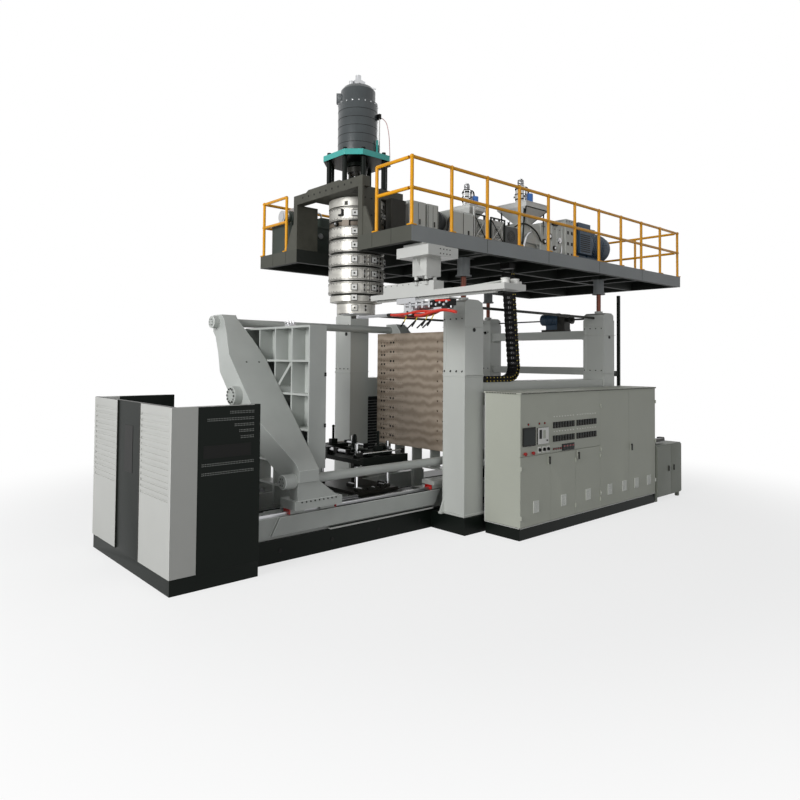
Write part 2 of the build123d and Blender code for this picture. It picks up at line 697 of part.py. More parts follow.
def side_cabinet():
    """Low hydraulic cabinet at the end of the control cabinet, on its own feet."""
    x0, x1 = cab_x1 + 20, 6030.0
    y0, y1 = cab_y0 - 30, -1860.0
    z0, z1 = 80.0, 1010.0
    body = block(x0, x1, y0 + 20, y1, z0, z1)
    seam = x0 + 530
    leaves = [block(x0 + 10, seam - 2, y0, y0 + 20, z0 + 20, z1 - 20),
              block(seam + 2, x1 - 10, y0, y0 + 20, z0 + 20, z1 - 20)]
    feet = [block(x, x + 60, y, y + 60, 0, z0) for x in (x0 + 20, x1 - 80) for y in (y0 + 40, y1 - 80)]
    cap = rod((x0 + 300, (y0 + y1) / 2, z1), (x0 + 300, (y0 + y1) / 2, z1 + 60), 60)
    duct = block(cab_x1, x0 + 1, y0 + 150, y1 - 60, z0 + 300, z0 + 700)
    save("side_cabinet", fuse(body, *leaves, *feet, cap, duct))


def platform():
    """Lifting platform with its guard rails and jack screws."""
    outline = [
        (platform_x0, -platform_half_y), (platform_x1, -platform_half_y), (platform_x1, platform_half_y),
        (platform_x0, platform_half_y), (platform_x0, notch_half_y), (notch_x, notch_half_y),
        (notch_x, -notch_half_y), (platform_x0, -notch_half_y),
    ]
    deck = prism(outline, Plane.XY, deck_z - deck_t, deck_z)
    z0, z1 = frame_z, deck_z - deck_t
    members = []
    for side in (1, -1):
        members.append(block(platform_x0, platform_x1, side * platform_half_y, side * (platform_half_y - edge_w),
                             z0, z1))
        members.append(block(platform_x0, platform_x1, side * notch_half_y, side * (notch_half_y + edge_w), z0, z1))
        members.append(block(platform_x0, platform_x0 + edge_w, side * notch_half_y, side * platform_half_y, z0, z1))
    for x in (notch_x, 1700, 2900, 4100, 5300, platform_x1 - edge_w):
        members.append(block(x, x + edge_w, -platform_half_y, platform_half_y, z0, z1))
    brackets = []
    screws = []
    for x0, dx in ((pillar_x0, pillar_dx), (rear_pillar_x0, rear_pillar_dx)):
        x = x0 + dx / 2
        for side in (1, -1):
            y = side * (pillar_y0 + pillar_dy / 2)
            brackets.append(block(x - 170, x + 170, y - 60, y + 60, z0 - 1, z1))
            brackets.append(block(x - 60, x + 60, side * notch_half_y, side * platform_half_y, z0, z1))
            brackets.append(Pos(x, y, z0 - 130) * Cylinder(95, 260))
            brackets.append(Pos(x, y, z0 - 270) * Cylinder(120, 24))
            screws.append(rod((x, y, pillar_top - 500), (x, y, z0 - 282), screw_r))
    save("platform_frame", fuse(deck, *members, *brackets))
    save("jack_screws", *screws)
    save("guard_rails", *guard_rails())


def guard_rails():
    """Welded tube railings, one flat panel for each side."""
    x0 = platform_x0 + rail_inset
    x1 = platform_x1 - rail_inset
    y1 = platform_half_y - rail_inset
    pitch = (x1 - x0) / rail_bays

    def panel(start, end, bays, skip_first, skip_last):
        pieces = []
        a = Vector(*start)
        b = Vector(*end)
        way = (b - a).normalized()
        low = a + way * (60 if skip_first else 0)
        high = b - way * (60 if skip_last else 0)
        for z in (rail_top, rail_mid):
            pieces.append(rod((low.X, low.Y, z), (high.X, high.Y, z), rail_r))
        for index in range(bays + 1):
            if (index == 0 and skip_first) or (index == bays and skip_last):
                continue
            p = a + (b - a) * (index / bays)
            pieces.append(rod((p.X, p.Y, deck_z), (p.X, p.Y, rail_top), rail_r))
            pieces.append(Pos(p.X, p.Y, deck_z + 6) * Box(90, 90, 12))
        return fuse(*pieces)

    panels = [panel((x0, s * y1, 0), (x0 + pitch * rail_bays, s * y1, 0), rail_bays, False, False)
              for s in (1, -1)]
    panels.append(panel((x1, -y1, 0), (x1, y1, 0), 4, True, True))
    panels.append(panel((x0, -y1, 0), (x0, -rail_end_y, 0), 1, True, False))
    panels.append(panel((x0, y1, 0), (x0, rail_end_y, 0), 1, True, False))
    return panels


def head():
    """Accumulator head: bridge, barrel with heater bands, die, columns, top plate and ram cylinder."""
    sheet = 40.0
    bridge_z1 = bridge_z0 + bridge_t
    beam = block(bridge_x0, bridge_x0 + bridge_beam_w, -bridge_half_y, bridge_half_y, bridge_z0, bridge_z1)
    hump = [(-540, bridge_z1 - 1), (-470, bridge_z1 + 32), (330, bridge_z1 + 32), (400, bridge_z1 - 1)]
    parts = [beam, cross_plate([(-y, z) for y, z in hump], bridge_x0, bridge_x0 + bridge_beam_w)]
    parts.append(block(bridge_x0 + 10, housing_x1, -housing_half_y, housing_half_y, bridge_z0, bridge_z1))
    for s in (1, -1):
        y = s * notch_half_y
        out = y + s * sheet
        parts.append(block(bridge_x0 + 40, -200, y, out, deck_z, bridge_z0))
        parts.append(block(bridge_x0, bridge_x0 + 40, y, y + s * 100, deck_z, bridge_z0))
        outline = [(out, deck_z), (y + s * 315, deck_z), (y + s * 315, deck_z + 50), (y + s * 150, deck_z + 400),
                   (out, deck_z + 400)]
        parts.append(cross_plate(outline, bridge_x0 + 10, bridge_x0 + 40))
        parts.append(block(housing_x1 - 60, housing_x1, s * housing_half_y, s * (housing_half_y - 90),
                           bridge_z0 - 420, bridge_z0))
    # Melt block between the barrel and the extruders, on the edge of the deck
    parts.append(block(head_r + band_t + 20, 800, -housing_half_y, housing_half_y, bridge_z0 - 420, bridge_z0))
    parts.append(block(notch_x + 5, 1000, -housing_half_y, housing_half_y, deck_z, bridge_z0 + 40))
    save("head_bridge", fuse(*parts) - Compound(children=push_rods(bridge_z0 - 5, bridge_z1 + 40, push_rod_r + fit_gap)))
    # Barrel with a stepped foot that holds the die, and two melt inlets
    barrel = revolve_z([(0, 3390), (head_r - 80, 3390), (head_r - 80, 3400), (head_r + 14, 3408),
                        (head_r + 14, 3490), (head_r, 3490), (head_r, 4840), (head_r + 46, 4840),
                        (head_r + 46, 4965), (head_r, 4965), (head_r, bridge_z0), (0, bridge_z0)])
    core_bore = rod((0, 0, 3300), (0, 0, 3700), core_shank_r + fit_gap)
    push_bores = push_rods(push_rod_end - shot_stroke - 20, bridge_z1 + 40, push_rod_r + fit_gap)
    inlet_z = 4690.0
    inlets = [rod((head_r - 60, s * 130, inlet_z), (head_r + band_t + 20, s * 130, inlet_z), 60) for s in (1, -1)]
    save("head_barrel", fuse(barrel - core_bore - Compound(children=push_bores), *inlets))
    bands = []
    joint = 42.0
    for low, high in ((4634, 4822), (4373, 4532), (4156, 4330), (3947, 4113), (3724, 3911), (3524, 3695)):
        outer = head_r + band_t
        ring = revolve_z([(head_r, low), (outer, low), (outer, high), (head_r, high)])
        if high > inlet_z:
            ring -= block(200, outer + 10, -195, 195, low - 1, high + 1)
        middle = (low + high) / 2
        for turn, reach in ((-132, 9), (-92, 6), (-60, 6)):
            angle = math.radians(turn)
            at = Pos((outer + reach) * math.cos(angle), (outer + reach) * math.sin(angle), middle)
            ring += at * Rot(0, 0, turn) * Box(30, 78, 70)
        angle = math.radians(-102)
        for edge in (-1, 1):
            at = Pos(outer * math.cos(angle) + edge * 16, outer * math.sin(angle), middle)
            ring += at * Rot(0, 0, -102) * Box(joint, 9, high - low - 20)
        bands.append(ring)
    clamp_ring = revolve_z([(head_r, 4547), (head_r + 34, 4547), (head_r + 34, 4605), (head_r, 4605)])
    turn = -150
    at = Pos((head_r + 40) * math.cos(math.radians(turn)), (head_r + 40) * math.sin(math.radians(turn)), 4576)
    bands.append(clamp_ring + at * Rot(0, 0, turn) * Box(60, 110, 90))
    save("heater_bands", *bands)
    die = revolve_z([(core_r + 12, die_z), (die_r, die_z), (die_r, 3376), (die_r - 14, 3390), (core_r + 12, 3390)])
    at = Pos((die_r + 8) * math.cos(math.radians(-132)), (die_r + 8) * math.sin(math.radians(-132)), 3310)
    save("die_ring", die + at * Rot(0, 0, -132) * Box(30, 70, 60))
    core = revolve_z([(0, die_z - 10), (core_r, die_z - 10), (core_r, die_z + 40), (core_shank_r, 3388), (core_shank_r, 3640),
                      (0, 3640)])
    save("die_core", core)
    columns = []
    for a_sign in (1, -1):
        for b_sign in (1, -1):
            for x, y in ((column_far, column_near), (column_near, column_far)):
                x = x * a_sign
                y = y * b_sign
                shank = rod((x, y, bridge_z1), (x, y, top_plate_z), column_r)
                foot = rod((x, y, bridge_z1), (x, y, bridge_z1 + 30), column_r + 14)
                columns.append(shank + foot)
                plate_top = top_plate_z + top_plate_t
                columns.append(rod((x, y, plate_top), (x, y, plate_top + 46), column_r - 6))
    plate_bore = rod((0, 0, top_plate_z - 70), (0, 0, top_plate_z + 600), shot_rod_r + fit_gap)
    gland = rod((0, 0, top_plate_z - 60), (0, 0, top_plate_z), 170) - plate_bore
    save("head_columns", *columns, gland)
    # The crosshead drives the ring piston in the barrel through four push rods
    crosshead = rod((0, 0, crosshead_z), (0, 0, crosshead_z + 80), 155)
    piston_rod = rod((0, 0, crosshead_z + 75), (0, 0, top_plate_z + top_plate_t + 380), shot_rod_r)
    save("shot_ram", fuse(crosshead, piston_rod, *push_rods(push_rod_end, crosshead_z + 5, push_rod_r)))
    h = top_plate_half
    c = h - top_plate_cut
    corners = [(h, c), (c, h), (-c, h), (-h, c), (-h, -c), (-c, -h), (c, -h), (h, -c)]
    save("head_top_plate", prism(corners, Plane.XY, top_plate_z, top_plate_z + top_plate_t) - plate_bore)
    z0 = top_plate_z + top_plate_t
    seam = ram_cyl_seam
    top = ram_cyl_z1
    body = revolve_z([
        (0, z0), (ram_cyl_r + 20, z0), (ram_cyl_r + 20, z0 + 46), (ram_cyl_r, z0 + 46), (ram_cyl_r, seam),
        (ram_cyl_top_r, seam + 8), (ram_cyl_top_r, top - 60), (ram_cyl_top_r - 50, top),
        (110, top), (110, top + 30), (80, top + 30), (80, top + 120), (45, top + 120), (45, head_top), (0, head_top),
    ])
    turn = math.radians(138)
    lug = Pos((ram_cyl_top_r + 22) * math.cos(turn), (ram_cyl_top_r + 22) * math.sin(turn), seam + 95)
    lug = lug * Rot(0, 0, 138) * Box(90, 70, 160)
    turn = math.radians(-48)
    bracket = Pos((ram_cyl_r + 16) * math.cos(turn), (ram_cyl_r + 16) * math.sin(turn), z0 + 100)
    bracket = bracket * Rot(0, 0, -48) * Box(50, 60, 200)
    save("ram_cylinder", fuse(body - plate_bore, lug, bracket))


def push_rods(z0, z1, radius):
    """The four bars between the crosshead and the ring piston."""
    spots = [(push_rod_at * math.cos(math.radians(45 + 90 * i)), push_rod_at * math.sin(math.radians(45 + 90 * i)))
             for i in range(4)]
    return [rod((x, y, z0), (x, y, z1), radius) for x, y in spots]


def tapered_hopper(x, y, z0, z1, top_w, throat_w):
    """Square funnel with a straight rim on top."""
    rim = 0.22 * (z1 - z0)
    low = Plane.XY.offset(z0) * Pos(x, y) * Rectangle(throat_w, throat_w)
    high = Plane.XY.offset(z1 - rim) * Pos(x, y) * Rectangle(top_w, top_w)
    funnel = loft([low.face(), high.face()])
    collar = block(x - top_w / 2, x + top_w / 2, y - top_w / 2, y + top_w / 2, z1 - rim, z1)
    lid = block(x - top_w / 2 - 10, x + top_w / 2 + 10, y - top_w / 2 - 10, y + top_w / 2 + 10, z1, z1 + 16)
    return fuse(funnel, collar, lid)


def extruders():
    """Two extruders side by side behind the head: barrels, hoods, gearboxes, motors and hoppers."""
    barrels = []
    gearboxes = []
    motors = []
    hoppers = []
    for y, k, hopper_w in ((-extruder_y, 1.0, 660.0), (extruder_y, 0.8, 420.0)):
        r = 115 * k
        side = 1 if y > 0 else -1
        barrel = rod((1090, y, barrel_z), (3560, y, barrel_z), r)
        flange = rod((1070, y, barrel_z), (1110, y, barrel_z), r + 60)
        end = block(1000, 1075, side * 270, y, barrel_z - 120, barrel_z + 120)
        half = 270 * k
        hood_top = 4935.0 if k == 1.0 else 4900.0
        chamfer = 40.0
        outline = [(y - half, deck_z), (y - half, hood_top - chamfer), (y - half + chamfer, hood_top),
                   (y + half - chamfer, hood_top), (y + half, hood_top - chamfer), (y + half, deck_z)]
        hood = cross_plate(outline, 1215, 1700)
        fans = []
        for x0, x1, drop, rise in ((1745, 2060, 300, 30), (2160, 2520, 330, 60), (2560, 2910, 300, 10)):
            fans.append(block(x0, x1, y - 230 * k, y + 230 * k, axis_z - drop, axis_z + rise))
            fans.append(block(x0 + 60, x1 - 60, y - 120 * k, y + 120 * k, deck_z, axis_z - drop))
            fans.append(rod(((x0 + x1) / 2, y - 230 * k - 8, axis_z - drop / 2), ((x0 + x1) / 2, y, axis_z - drop / 2),
                            105))
        feed = block(3060, 3560, y - 235 * k, y + 235 * k, axis_z - 200 * k, axis_z + 150 * k)
        pedestal = block(3120, 3500, y - 180 * k, y + 180 * k, deck_z, axis_z - 190 * k)
        barrels.append(fuse(barrel, flange, end, hood, *fans, feed, pedestal))
        casting = side_plate([(3560, deck_z + 70), (3560, axis_z + 200 * k), (3760, axis_z + 260 * k),
                              (4320, axis_z + 260 * k), (4320, deck_z + 70)], y - half + 20, y + half - 20)
        rear_box = block(4320, 4630, y - half - 10, y + half + 10, deck_z + 40, axis_z + 390 * k)
        sole = block(3600, 4630, y - half - 30, y + half + 30, deck_z, deck_z + 70)
        ribs = [block(x, x + 20, y - half + 8, y + half - 8, deck_z + 70, axis_z + 210 * k)
                for x in (3740, 3900, 4060, 4220)]
        gearboxes.append(fuse(casting, rear_box, sole, *ribs))
        motors.append(extruder_motor(y, k))
        hoppers.append(hopper_unit(3350 if k == 1.0 else 3300, y, axis_z + 150 * k, hopper_w, 470 * k))
    hoppers.append(feed_station())
    save("extruder_barrels", *barrels)
    save("extruder_gearboxes", *gearboxes)
    save("extruder_motors", *motors)
    save("hoppers", *hoppers)


def extruder_motor(y, k):
    """Foot-mounted motor with cooling fins, a blower box on top and a fan cowl."""
    r = 285 * k
    x0, x1 = 4720.0, 4720.0 + 1120 * k
    z = axis_z + 10
    body = rod((x0, y, z), (x1, y, z), r)
    coupling = rod((4630, y, z), (x0 + 5, y, z), 110 * k)
    fins = [rod((x0 + 520 * k + 60 * i, y, z), (x0 + 520 * k + 60 * i + 24, y, z), r + 14) for i in range(8)]
    cowl = rod((x1, y, z), (x1 + 110 * k, y, z), r - 25)
    blower = block(x0 + 40, x0 + 460 * k, y - r + 10, y + r - 10, z + r * 0.5, z + r + 95 * k)
    box = block(x0 + 40, x0 + 460 * k, y - r - 20, y + r + 20, z - r * 0.8, z + r * 0.7)
    foot = block(x0 + 60, x1 - 60, y - 260 * k, y + 260 * k, deck_z, deck_z + 60)
    web = block(x0 + 100, x1 - 100, y - 170 * k, y + 170 * k, deck_z + 50, z)
    return fuse(body, coupling, *fins, cowl, blower, box, foot, web)


def feed_station():
    """Small feeding station beside the first hood, on its own stand."""
    x, y = 1880.0, -extruder_y
    leg_y = 255.0
    top = 5090.0
    funnel = tapered_hopper(x, y, 4895, top, 400, 180)
    stand = fuse(block(x - 90, x + 90, y - 60, y + 60, 4880, 4900), funnel)
    legs = [block(x + sx * 150 - 14, x + sx * 150 + 14, y + sy * leg_y - 12, y + sy * leg_y + 12, deck_z, top - 30)
            for sx in (1, -1) for sy in (1, -1)]
    ties = [block(x - 164, x + 164, y + sy * leg_y - 12, y + sy * leg_y + 12, 5000, 5026) for sy in (1, -1)]
    wings = [block(x - 60, x + 60, y + sy * 150, y + sy * (leg_y + 10), 5026, 5050) for sy in (1, -1)]
    loader = loader_unit(x, y, top + 16, 80.0)
    return fuse(stand, *legs, *ties, *wings, loader)


def loader_unit(x, y, z, radius):
    """Vacuum loader: a conical vessel with its pump on top and a filter drum beside it."""
    vessel = revolve_z([(0, 0), (radius * 0.5, 0), (radius, radius * 0.9), (radius, radius * 3.1),
                        (radius * 0.8, radius * 3.6), (0, radius * 3.6)])
    vessel = Pos(x - radius * 0.6, y, z) * vessel
    pump = rod((x - radius * 0.6, y, z + radius * 3.55), (x - radius * 0.6, y, z + radius * 4.7), radius * 0.55)
    drum = rod((x + radius * 1.35, y - 30, z), (x + radius * 1.35, y - 30, z + radius * 2.4), radius * 0.85)
    return fuse(vessel, pump, drum)


def hopper_unit(x, y, z0, width, height):
    """Hopper with its vacuum loader on the lid."""
    z1 = z0 + height * 0.75
    return fuse(tapered_hopper(x, y, z0, z1, width, 170), loader_unit(x, y, z1 + 16, width * 0.15))


def pump_set():
    """Hydraulic pump set on the far front corner of the platform, cabinets near the head."""
    tank = block(-480, 420, 1130, 1730, deck_z, deck_z + 480)
    lid = block(-490, 430, 1120, 1740, deck_z + 480, deck_z + 500)
    z = deck_z + 640
    saddle = block(-300, 120, 1370, 1530, deck_z + 495, z - 60)
    motor = rod((-380, 1450, z), (90, 1450, z), 115)
    fins = [rod((-330 + 45 * i, 1450, z), (-315 + 45 * i, 1450, z), 124) for i in range(8)]
    pump = rod((85, 1450, z), (300, 1450, z), 70)
    valve = block(160, 360, 1180, 1320, deck_z + 495, deck_z + 680)
    # Terminal cabinets of the head on the near side of the deck
    cabinets = [
        block(-120, 160, -960, -830, deck_z, 4870),
        block(240, 570, -970, -830, deck_z, 4905),
        block(600, 830, -970, -830, deck_z, 4905),
    ]
    save("deck_units", fuse(tank, lid, saddle, motor, *fins, pump, valve), *cabinets)


def spreader():
    """Parison spreader and blow pin table between the platens."""
    base = block(-400, 400, -bed_y_in - 50, bed_y_in + 50, bed_z1, bed_z1 + 50)
    z0 = bed_z1 + 50
    posts = []
    for x in (-300, 300):
        for y in (-430, 430):
            posts.append(rod((x, y, z0 - 5), (x, y, 1290), post_r))
            posts.append(rod((x, y, z0), (x, y, z0 + 45), 48))
    barrel = rod((0, 0, z0 - 5), (0, 0, 930), 62)
    bore = rod((0, 0, z0 + 40), (0, 0, 940), 42)
    save("spreader_base", fuse(base, *posts, barrel) - bore)
    z1 = table_z + table_t
    top = block(-table_half_x, table_half_x, -table_half_y, table_half_y, table_z, z1 - 40)
    for s in (1, -1):
        lip = block(-table_half_x, table_half_x, s * table_half_y, s * (table_half_y - 30), table_z - 40, z1)
        top += lip
    for x in (-300, 300):
        for y in (-430, 430):
            top += rod((x, y, table_z - 60), (x, y, z1), 55)
            top -= rod((x, y, table_z - 80), (x, y, z1 + 20), post_r + fit_gap)
    top += rod((0, 0, 660), (0, 0, table_z + 5), 30)
    top += rod((0, 0, 660), (0, 0, 690), 41.9)
    for x in (-170, 170):
        top += block(x - 22, x + 22, -table_half_y + 30, table_half_y - 30, z1 - 41, z1)
    pin = revolve_z([(0, 0), (60, 0), (60, 60), (32, 80), (32, 250), (20, 290), (0, 290)])
    top += Pos(0, 0, z1 - 41) * pin
    top += block(250, 410, -380, -180, z1 - 41, z1 + 90)
    top += block(-410, -260, 150, 330, z1 - 41, z1 + 70)
    save("spreader_table", top)
    for name, s in (("spreader_arm_near", -1), ("spreader_arm_far", 1)):
        y = s * 560
        z2 = z1 + run_gap
        slide = block(-230, 230, y - 60, y + 60, z2, z2 + 50)
        head_block = block(-60, 60, y - 40, y + 40, z2 + 45, z2 + 130)
        finger = rod((0, y, z2 + 120), (0, y, z2 + 330), 20)
        tip = Pos(0, y, z2 + 330) * Sphere(24)
        save(name, fuse(slide, head_block, finger, tip))


def takeout():
    """Take-out unit under the near front corner of the platform."""
    x0, x1 = -470.0, 90.0
    y0, y1 = -2080.0, -1470.0
    box = block(x0, x1, y0, y1, 3885, 4020)
    pad = block(x0 + 70, x1 - 70, platform_half_y * -1, y1 - 60, 4015, frame_z)
    xc, yc = -165.0, -1740.0
    column = block(xc - 135, xc + 135, yc - 135, yc + 135, 3650, 3890)
    for s in (1, -1):
        box += side_plate([(xc + s * 130, 3890), (xc + s * 215, 3890), (xc + s * 130, 3760)], yc - 10, yc + 10)
    rods = [rod((x, y, takeout_z + 150), (x, y, 3660), 26) for x in (xc - 100, xc + 60) for y in (yc - 95, yc + 95)]
    plate_top = takeout_z + 203
    plate = block(-250, -60, -1960, -946, takeout_z + 70, plate_top)
    beam = block(-250, -70, -3000, -660, takeout_z, takeout_z + 76)
    end_box = block(-250, 165, -3140, -2960, takeout_z, takeout_z + 76)
    pulleys = [rod((x, -3050, takeout_z + 70), (x, -3050, takeout_z + 140), 48) for x in (-120, 60)]
    rail = block(-185, -135, -2950, -720, takeout_z - 26, takeout_z + 1)
    save("takeout_beam", fuse(box, pad, column, *rods, plate, beam, end_box, *pulleys, rail))
    y = -1420.0
    trolley = block(-250, -70, y - 190, y + 190, takeout_z - 80, takeout_z - 26 - run_gap)
    for s in (1, -1):
        trolley += block(-160 + s * (25 + run_gap), -160 + s * 90, y - 190, y + 190, takeout_z - 81, takeout_z - run_gap)
    drop = block(-230, -90, y - 120, y + 60, takeout_z - 180, takeout_z - 79)
    cylinder = rod((-160, y - 460, takeout_z - 135), (-160, y - 118, takeout_z - 135), 42)
    arms = [rod((x, y - 100, takeout_z - 215), (x, -330, takeout_z - 215), 16) for x in (-225, -95)]
    saddle = block(-245, -75, y - 110, y + 50, takeout_z - 240, takeout_z - 178)
    bridge = block(-245, -75, -370, -320, takeout_z - 242, takeout_z - 188)
    save("takeout_carriage", fuse(trolley, drop, cylinder, *arms, saddle, bridge))
    for name, s in (("gripper_finger_left", -1), ("gripper_finger_right", 1)):
        x = -160 + s * 40
        z = takeout_z - 215
        foot = block(x - 16, x + 16, -320 + run_gap, -280, z - 25, z + 25)
        finger = block(x - 8, x + 8, -281, -150, z - 20, z + 20)
        save(name, fuse(foot, finger))


def drag_chain():
    """Cable chain from the near side beam up to the platform, one link beside the other."""
    y0, y1 = -1590.0, -1396.0
    radius = 170.0
    link_h = 86.0
    bottom = beam_z1 + link_h / 2 + run_gap
    top = frame_z
    x_up = 2030.0
    lean = 170.0
    start = (1230.0, bottom)
    corner = (x_up - radius, bottom)
    path = []
    step = 80.0
    x = start[0] + step / 2
    while x < corner[0]:
        path.append((x, bottom, 0.0))
        x += step
    count = 4
    for index in range(count):
        angle = math.radians(90 * (index + 0.5) / count)
        path.append((corner[0] + radius * math.sin(angle), bottom + 8 + radius * (1 - math.cos(angle)),
                     math.degrees(angle)))
    z = bottom + radius + step / 2
    while z < top - step / 2:
        share = (z - bottom - radius) / (top - bottom - radius)
        path.append((x_up - lean * share, z, 90 + math.degrees(math.atan(lean / (top - bottom - radius)))))
        z += step
    links = []
    for x, z, turn in path:
        link = Box(step * 1.06, y1 - y0, link_h) - Box(step * 1.2, y1 - y0 - 60, link_h - 24)
        links.append(Pos(x, (y0 + y1) / 2, z) * Rot(0, -turn, 0) * link)
    end = block(x_up - lean - 70, x_up - lean + 70, y0, y1, top - 110, top)
    save("drag_chain", fuse(*links, end))


base_frame()
save("guide_beds", guide_bed(1), guide_bed(-1))
linear_rails()
clamp_unit()
gantry()
end_fence()
cabinet()
controls()
side_cabinet()
platform()
head()
extruders()
pump_set()
spreader()
takeout()
drag_chain()
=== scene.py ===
"""Blow moulding machine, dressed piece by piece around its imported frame."""
import math

import bmesh
import bpy
from mathutils import Matrix, Vector


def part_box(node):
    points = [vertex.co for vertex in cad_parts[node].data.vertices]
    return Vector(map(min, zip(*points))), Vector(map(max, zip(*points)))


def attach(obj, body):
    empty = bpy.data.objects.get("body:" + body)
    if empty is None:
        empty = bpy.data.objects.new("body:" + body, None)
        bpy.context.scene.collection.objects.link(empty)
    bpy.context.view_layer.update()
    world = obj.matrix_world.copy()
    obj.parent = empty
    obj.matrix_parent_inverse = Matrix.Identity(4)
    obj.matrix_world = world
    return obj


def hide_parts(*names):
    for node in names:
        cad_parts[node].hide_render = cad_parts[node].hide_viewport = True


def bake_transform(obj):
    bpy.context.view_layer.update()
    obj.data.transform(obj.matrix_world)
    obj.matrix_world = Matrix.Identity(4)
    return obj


bl_info = {
    "name": "Blow Moulding Machine",
    "version": (1, 0, 0),
    "blender": (4, 5, 0),
    "location": "View3D > Sidebar > Machine",
    "description": "Builds the finished pieces of a blow moulding machine around its frame",
    "category": "Object",
}

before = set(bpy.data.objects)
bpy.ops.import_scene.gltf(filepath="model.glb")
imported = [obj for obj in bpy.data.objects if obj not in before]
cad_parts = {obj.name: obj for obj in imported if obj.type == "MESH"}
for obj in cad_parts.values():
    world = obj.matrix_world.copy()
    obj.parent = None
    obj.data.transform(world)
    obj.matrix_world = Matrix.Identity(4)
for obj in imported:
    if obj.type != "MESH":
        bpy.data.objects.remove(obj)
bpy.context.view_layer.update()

X_AXIS = Vector((1, 0, 0))
Y_AXIS = Vector((0, 1, 0))
Z_AXIS = Vector((0, 0, 1))
# A sheet laid on a face that looks to -X, to -Y or upwards
FACING_LEFT = Matrix(((0, 0, -1, 0), (-1, 0, 0, 0), (0, 1, 0, 0), (0, 0, 0, 1)))
FACING_NEAR = Matrix(((1, 0, 0, 0), (0, 0, -1, 0), (0, 1, 0, 0), (0, 0, 0, 1)))
FACING_UP = Matrix.Identity(4)

DUST_COLOUR = (0.42, 0.40, 0.36, 1)
# Places in metres that several pieces share
CLAMP_AXIS = 2.03
RAIL_Y = 0.85
DECK_TOP = 4.28
CABINET_FACE = -2.32
CABINET_LEFT = 1.13
EXTRUDER_Y = 0.65
MOTOR_AXIS = 4.86
PULLEY_Y = -3.05
CHAIN_Y = -1.493
CHAIN_PITCH = 0.08
CHAIN_BEND = 0.17
SPREADER_TOP = 1.12
SPREADER_BASE_TOP = 0.6


def srgb(red, green, blue):
    """Screen colour from 0 to 255 as the linear colour a shader takes."""
    values = []
    for level in (red, green, blue):
        c = level / 255
        values.append(c / 12.92 if c <= 0.04045 else ((c + 0.055) / 1.055) ** 2.4)
    return tuple(values)


class MachineColours(bpy.types.PropertyGroup):
    machine_grey: bpy.props.FloatVectorProperty(
        name="Machine grey", description="Paint of the gantry, the extruders and the pump set",
        subtype="COLOR", default=srgb(200, 203, 198))
    clamp_grey: bpy.props.FloatVectorProperty(
        name="Clamp grey", description="Paint of the clamp, the left platen and the bed", subtype="COLOR",
        default=srgb(181, 185, 181))
    light_grey: bpy.props.FloatVectorProperty(
        name="Light grey", description="Paint of the take-out beam, the switchgear and the trims",
        subtype="COLOR", default=srgb(206, 207, 203))
    cabinet_grey: bpy.props.FloatVectorProperty(
        name="Cabinet grey", description="Textured paint of the control cabinet", subtype="COLOR",
        default=srgb(182, 185, 173))
    deck_grey: bpy.props.FloatVectorProperty(
        name="Deck grey", description="Paint of the platform", subtype="COLOR",
        default=srgb(130, 134, 135))
    black: bpy.props.FloatVectorProperty(
        name="Black", description="Paint of the floor frame and the dark panels", subtype="COLOR",
        default=srgb(14, 20, 16))
    yellow: bpy.props.FloatVectorProperty(
        name="Yellow", description="Paint of the guard rails", subtype="COLOR", default=srgb(240, 168, 14))
    teal: bpy.props.FloatVectorProperty(
        name="Teal", description="Paint of the head's top plate", subtype="COLOR", default=srgb(58, 176, 168))
    motor_blue: bpy.props.FloatVectorProperty(
        name="Motor blue", description="Paint of the motors", subtype="COLOR", default=srgb(42, 68, 90))
    drum_blue: bpy.props.FloatVectorProperty(
        name="Drum blue", description="Filter drums of the loaders", subtype="COLOR",
        default=srgb(62, 126, 214))
    platen_brown: bpy.props.FloatVectorProperty(
        name="Platen brown", description="Rust-toned steel of the right platen", subtype="COLOR",
        default=srgb(176, 158, 138))


class MachineSizes(bpy.types.PropertyGroup):
    fine_edge: bpy.props.FloatProperty(
        name="Sheet edge", description="Rounding of sheet-metal edges", default=0.003, unit="LENGTH")
    light_level: bpy.props.FloatProperty(
        name="Light level", description="Strength of all the lamps together", default=1.0, min=0.0)


def sizes():
    return bpy.context.scene.machine_sizes


def colours():
    return bpy.context.scene.machine_colours


# Node trees


def feed(tree, target, value):
    """Wires an output to a socket, or sets the socket's own value."""
    if isinstance(value, bpy.types.NodeSocket):
        tree.links.new(value, target)
    else:
        target.default_value = value


def add(tree, kind, inputs=None, **settings):
    """Adds a node with its settings, and feeds its inputs by name or place."""
    node = tree.nodes.new(kind)
    for name, value in settings.items():
        setattr(node, name, value)
    for key, value in (inputs or {}).items():
        feed(tree, node.inputs[key], value)
    return node


def reckon(tree, operation, *values):
    """Output of a Math node."""
    return add(tree, "ShaderNodeMath", dict(enumerate(values)), operation=operation).outputs[0]


def new_tree(name, kind, inputs, outputs):
    """Empty node group with its sockets as (name, kind) or (name, kind, first value)."""
    tree = bpy.data.node_groups.new(name, kind)
    for way, sockets in (("INPUT", inputs), ("OUTPUT", outputs)):
        for label, socket, *value in sockets:
            made = tree.interface.new_socket(name=label, in_out=way, socket_type="NodeSocket" + socket)
            if value:
                made.default_value = value[0]
    return tree, tree.nodes.new("NodeGroupInput").outputs, tree.nodes.new("NodeGroupOutput").inputs


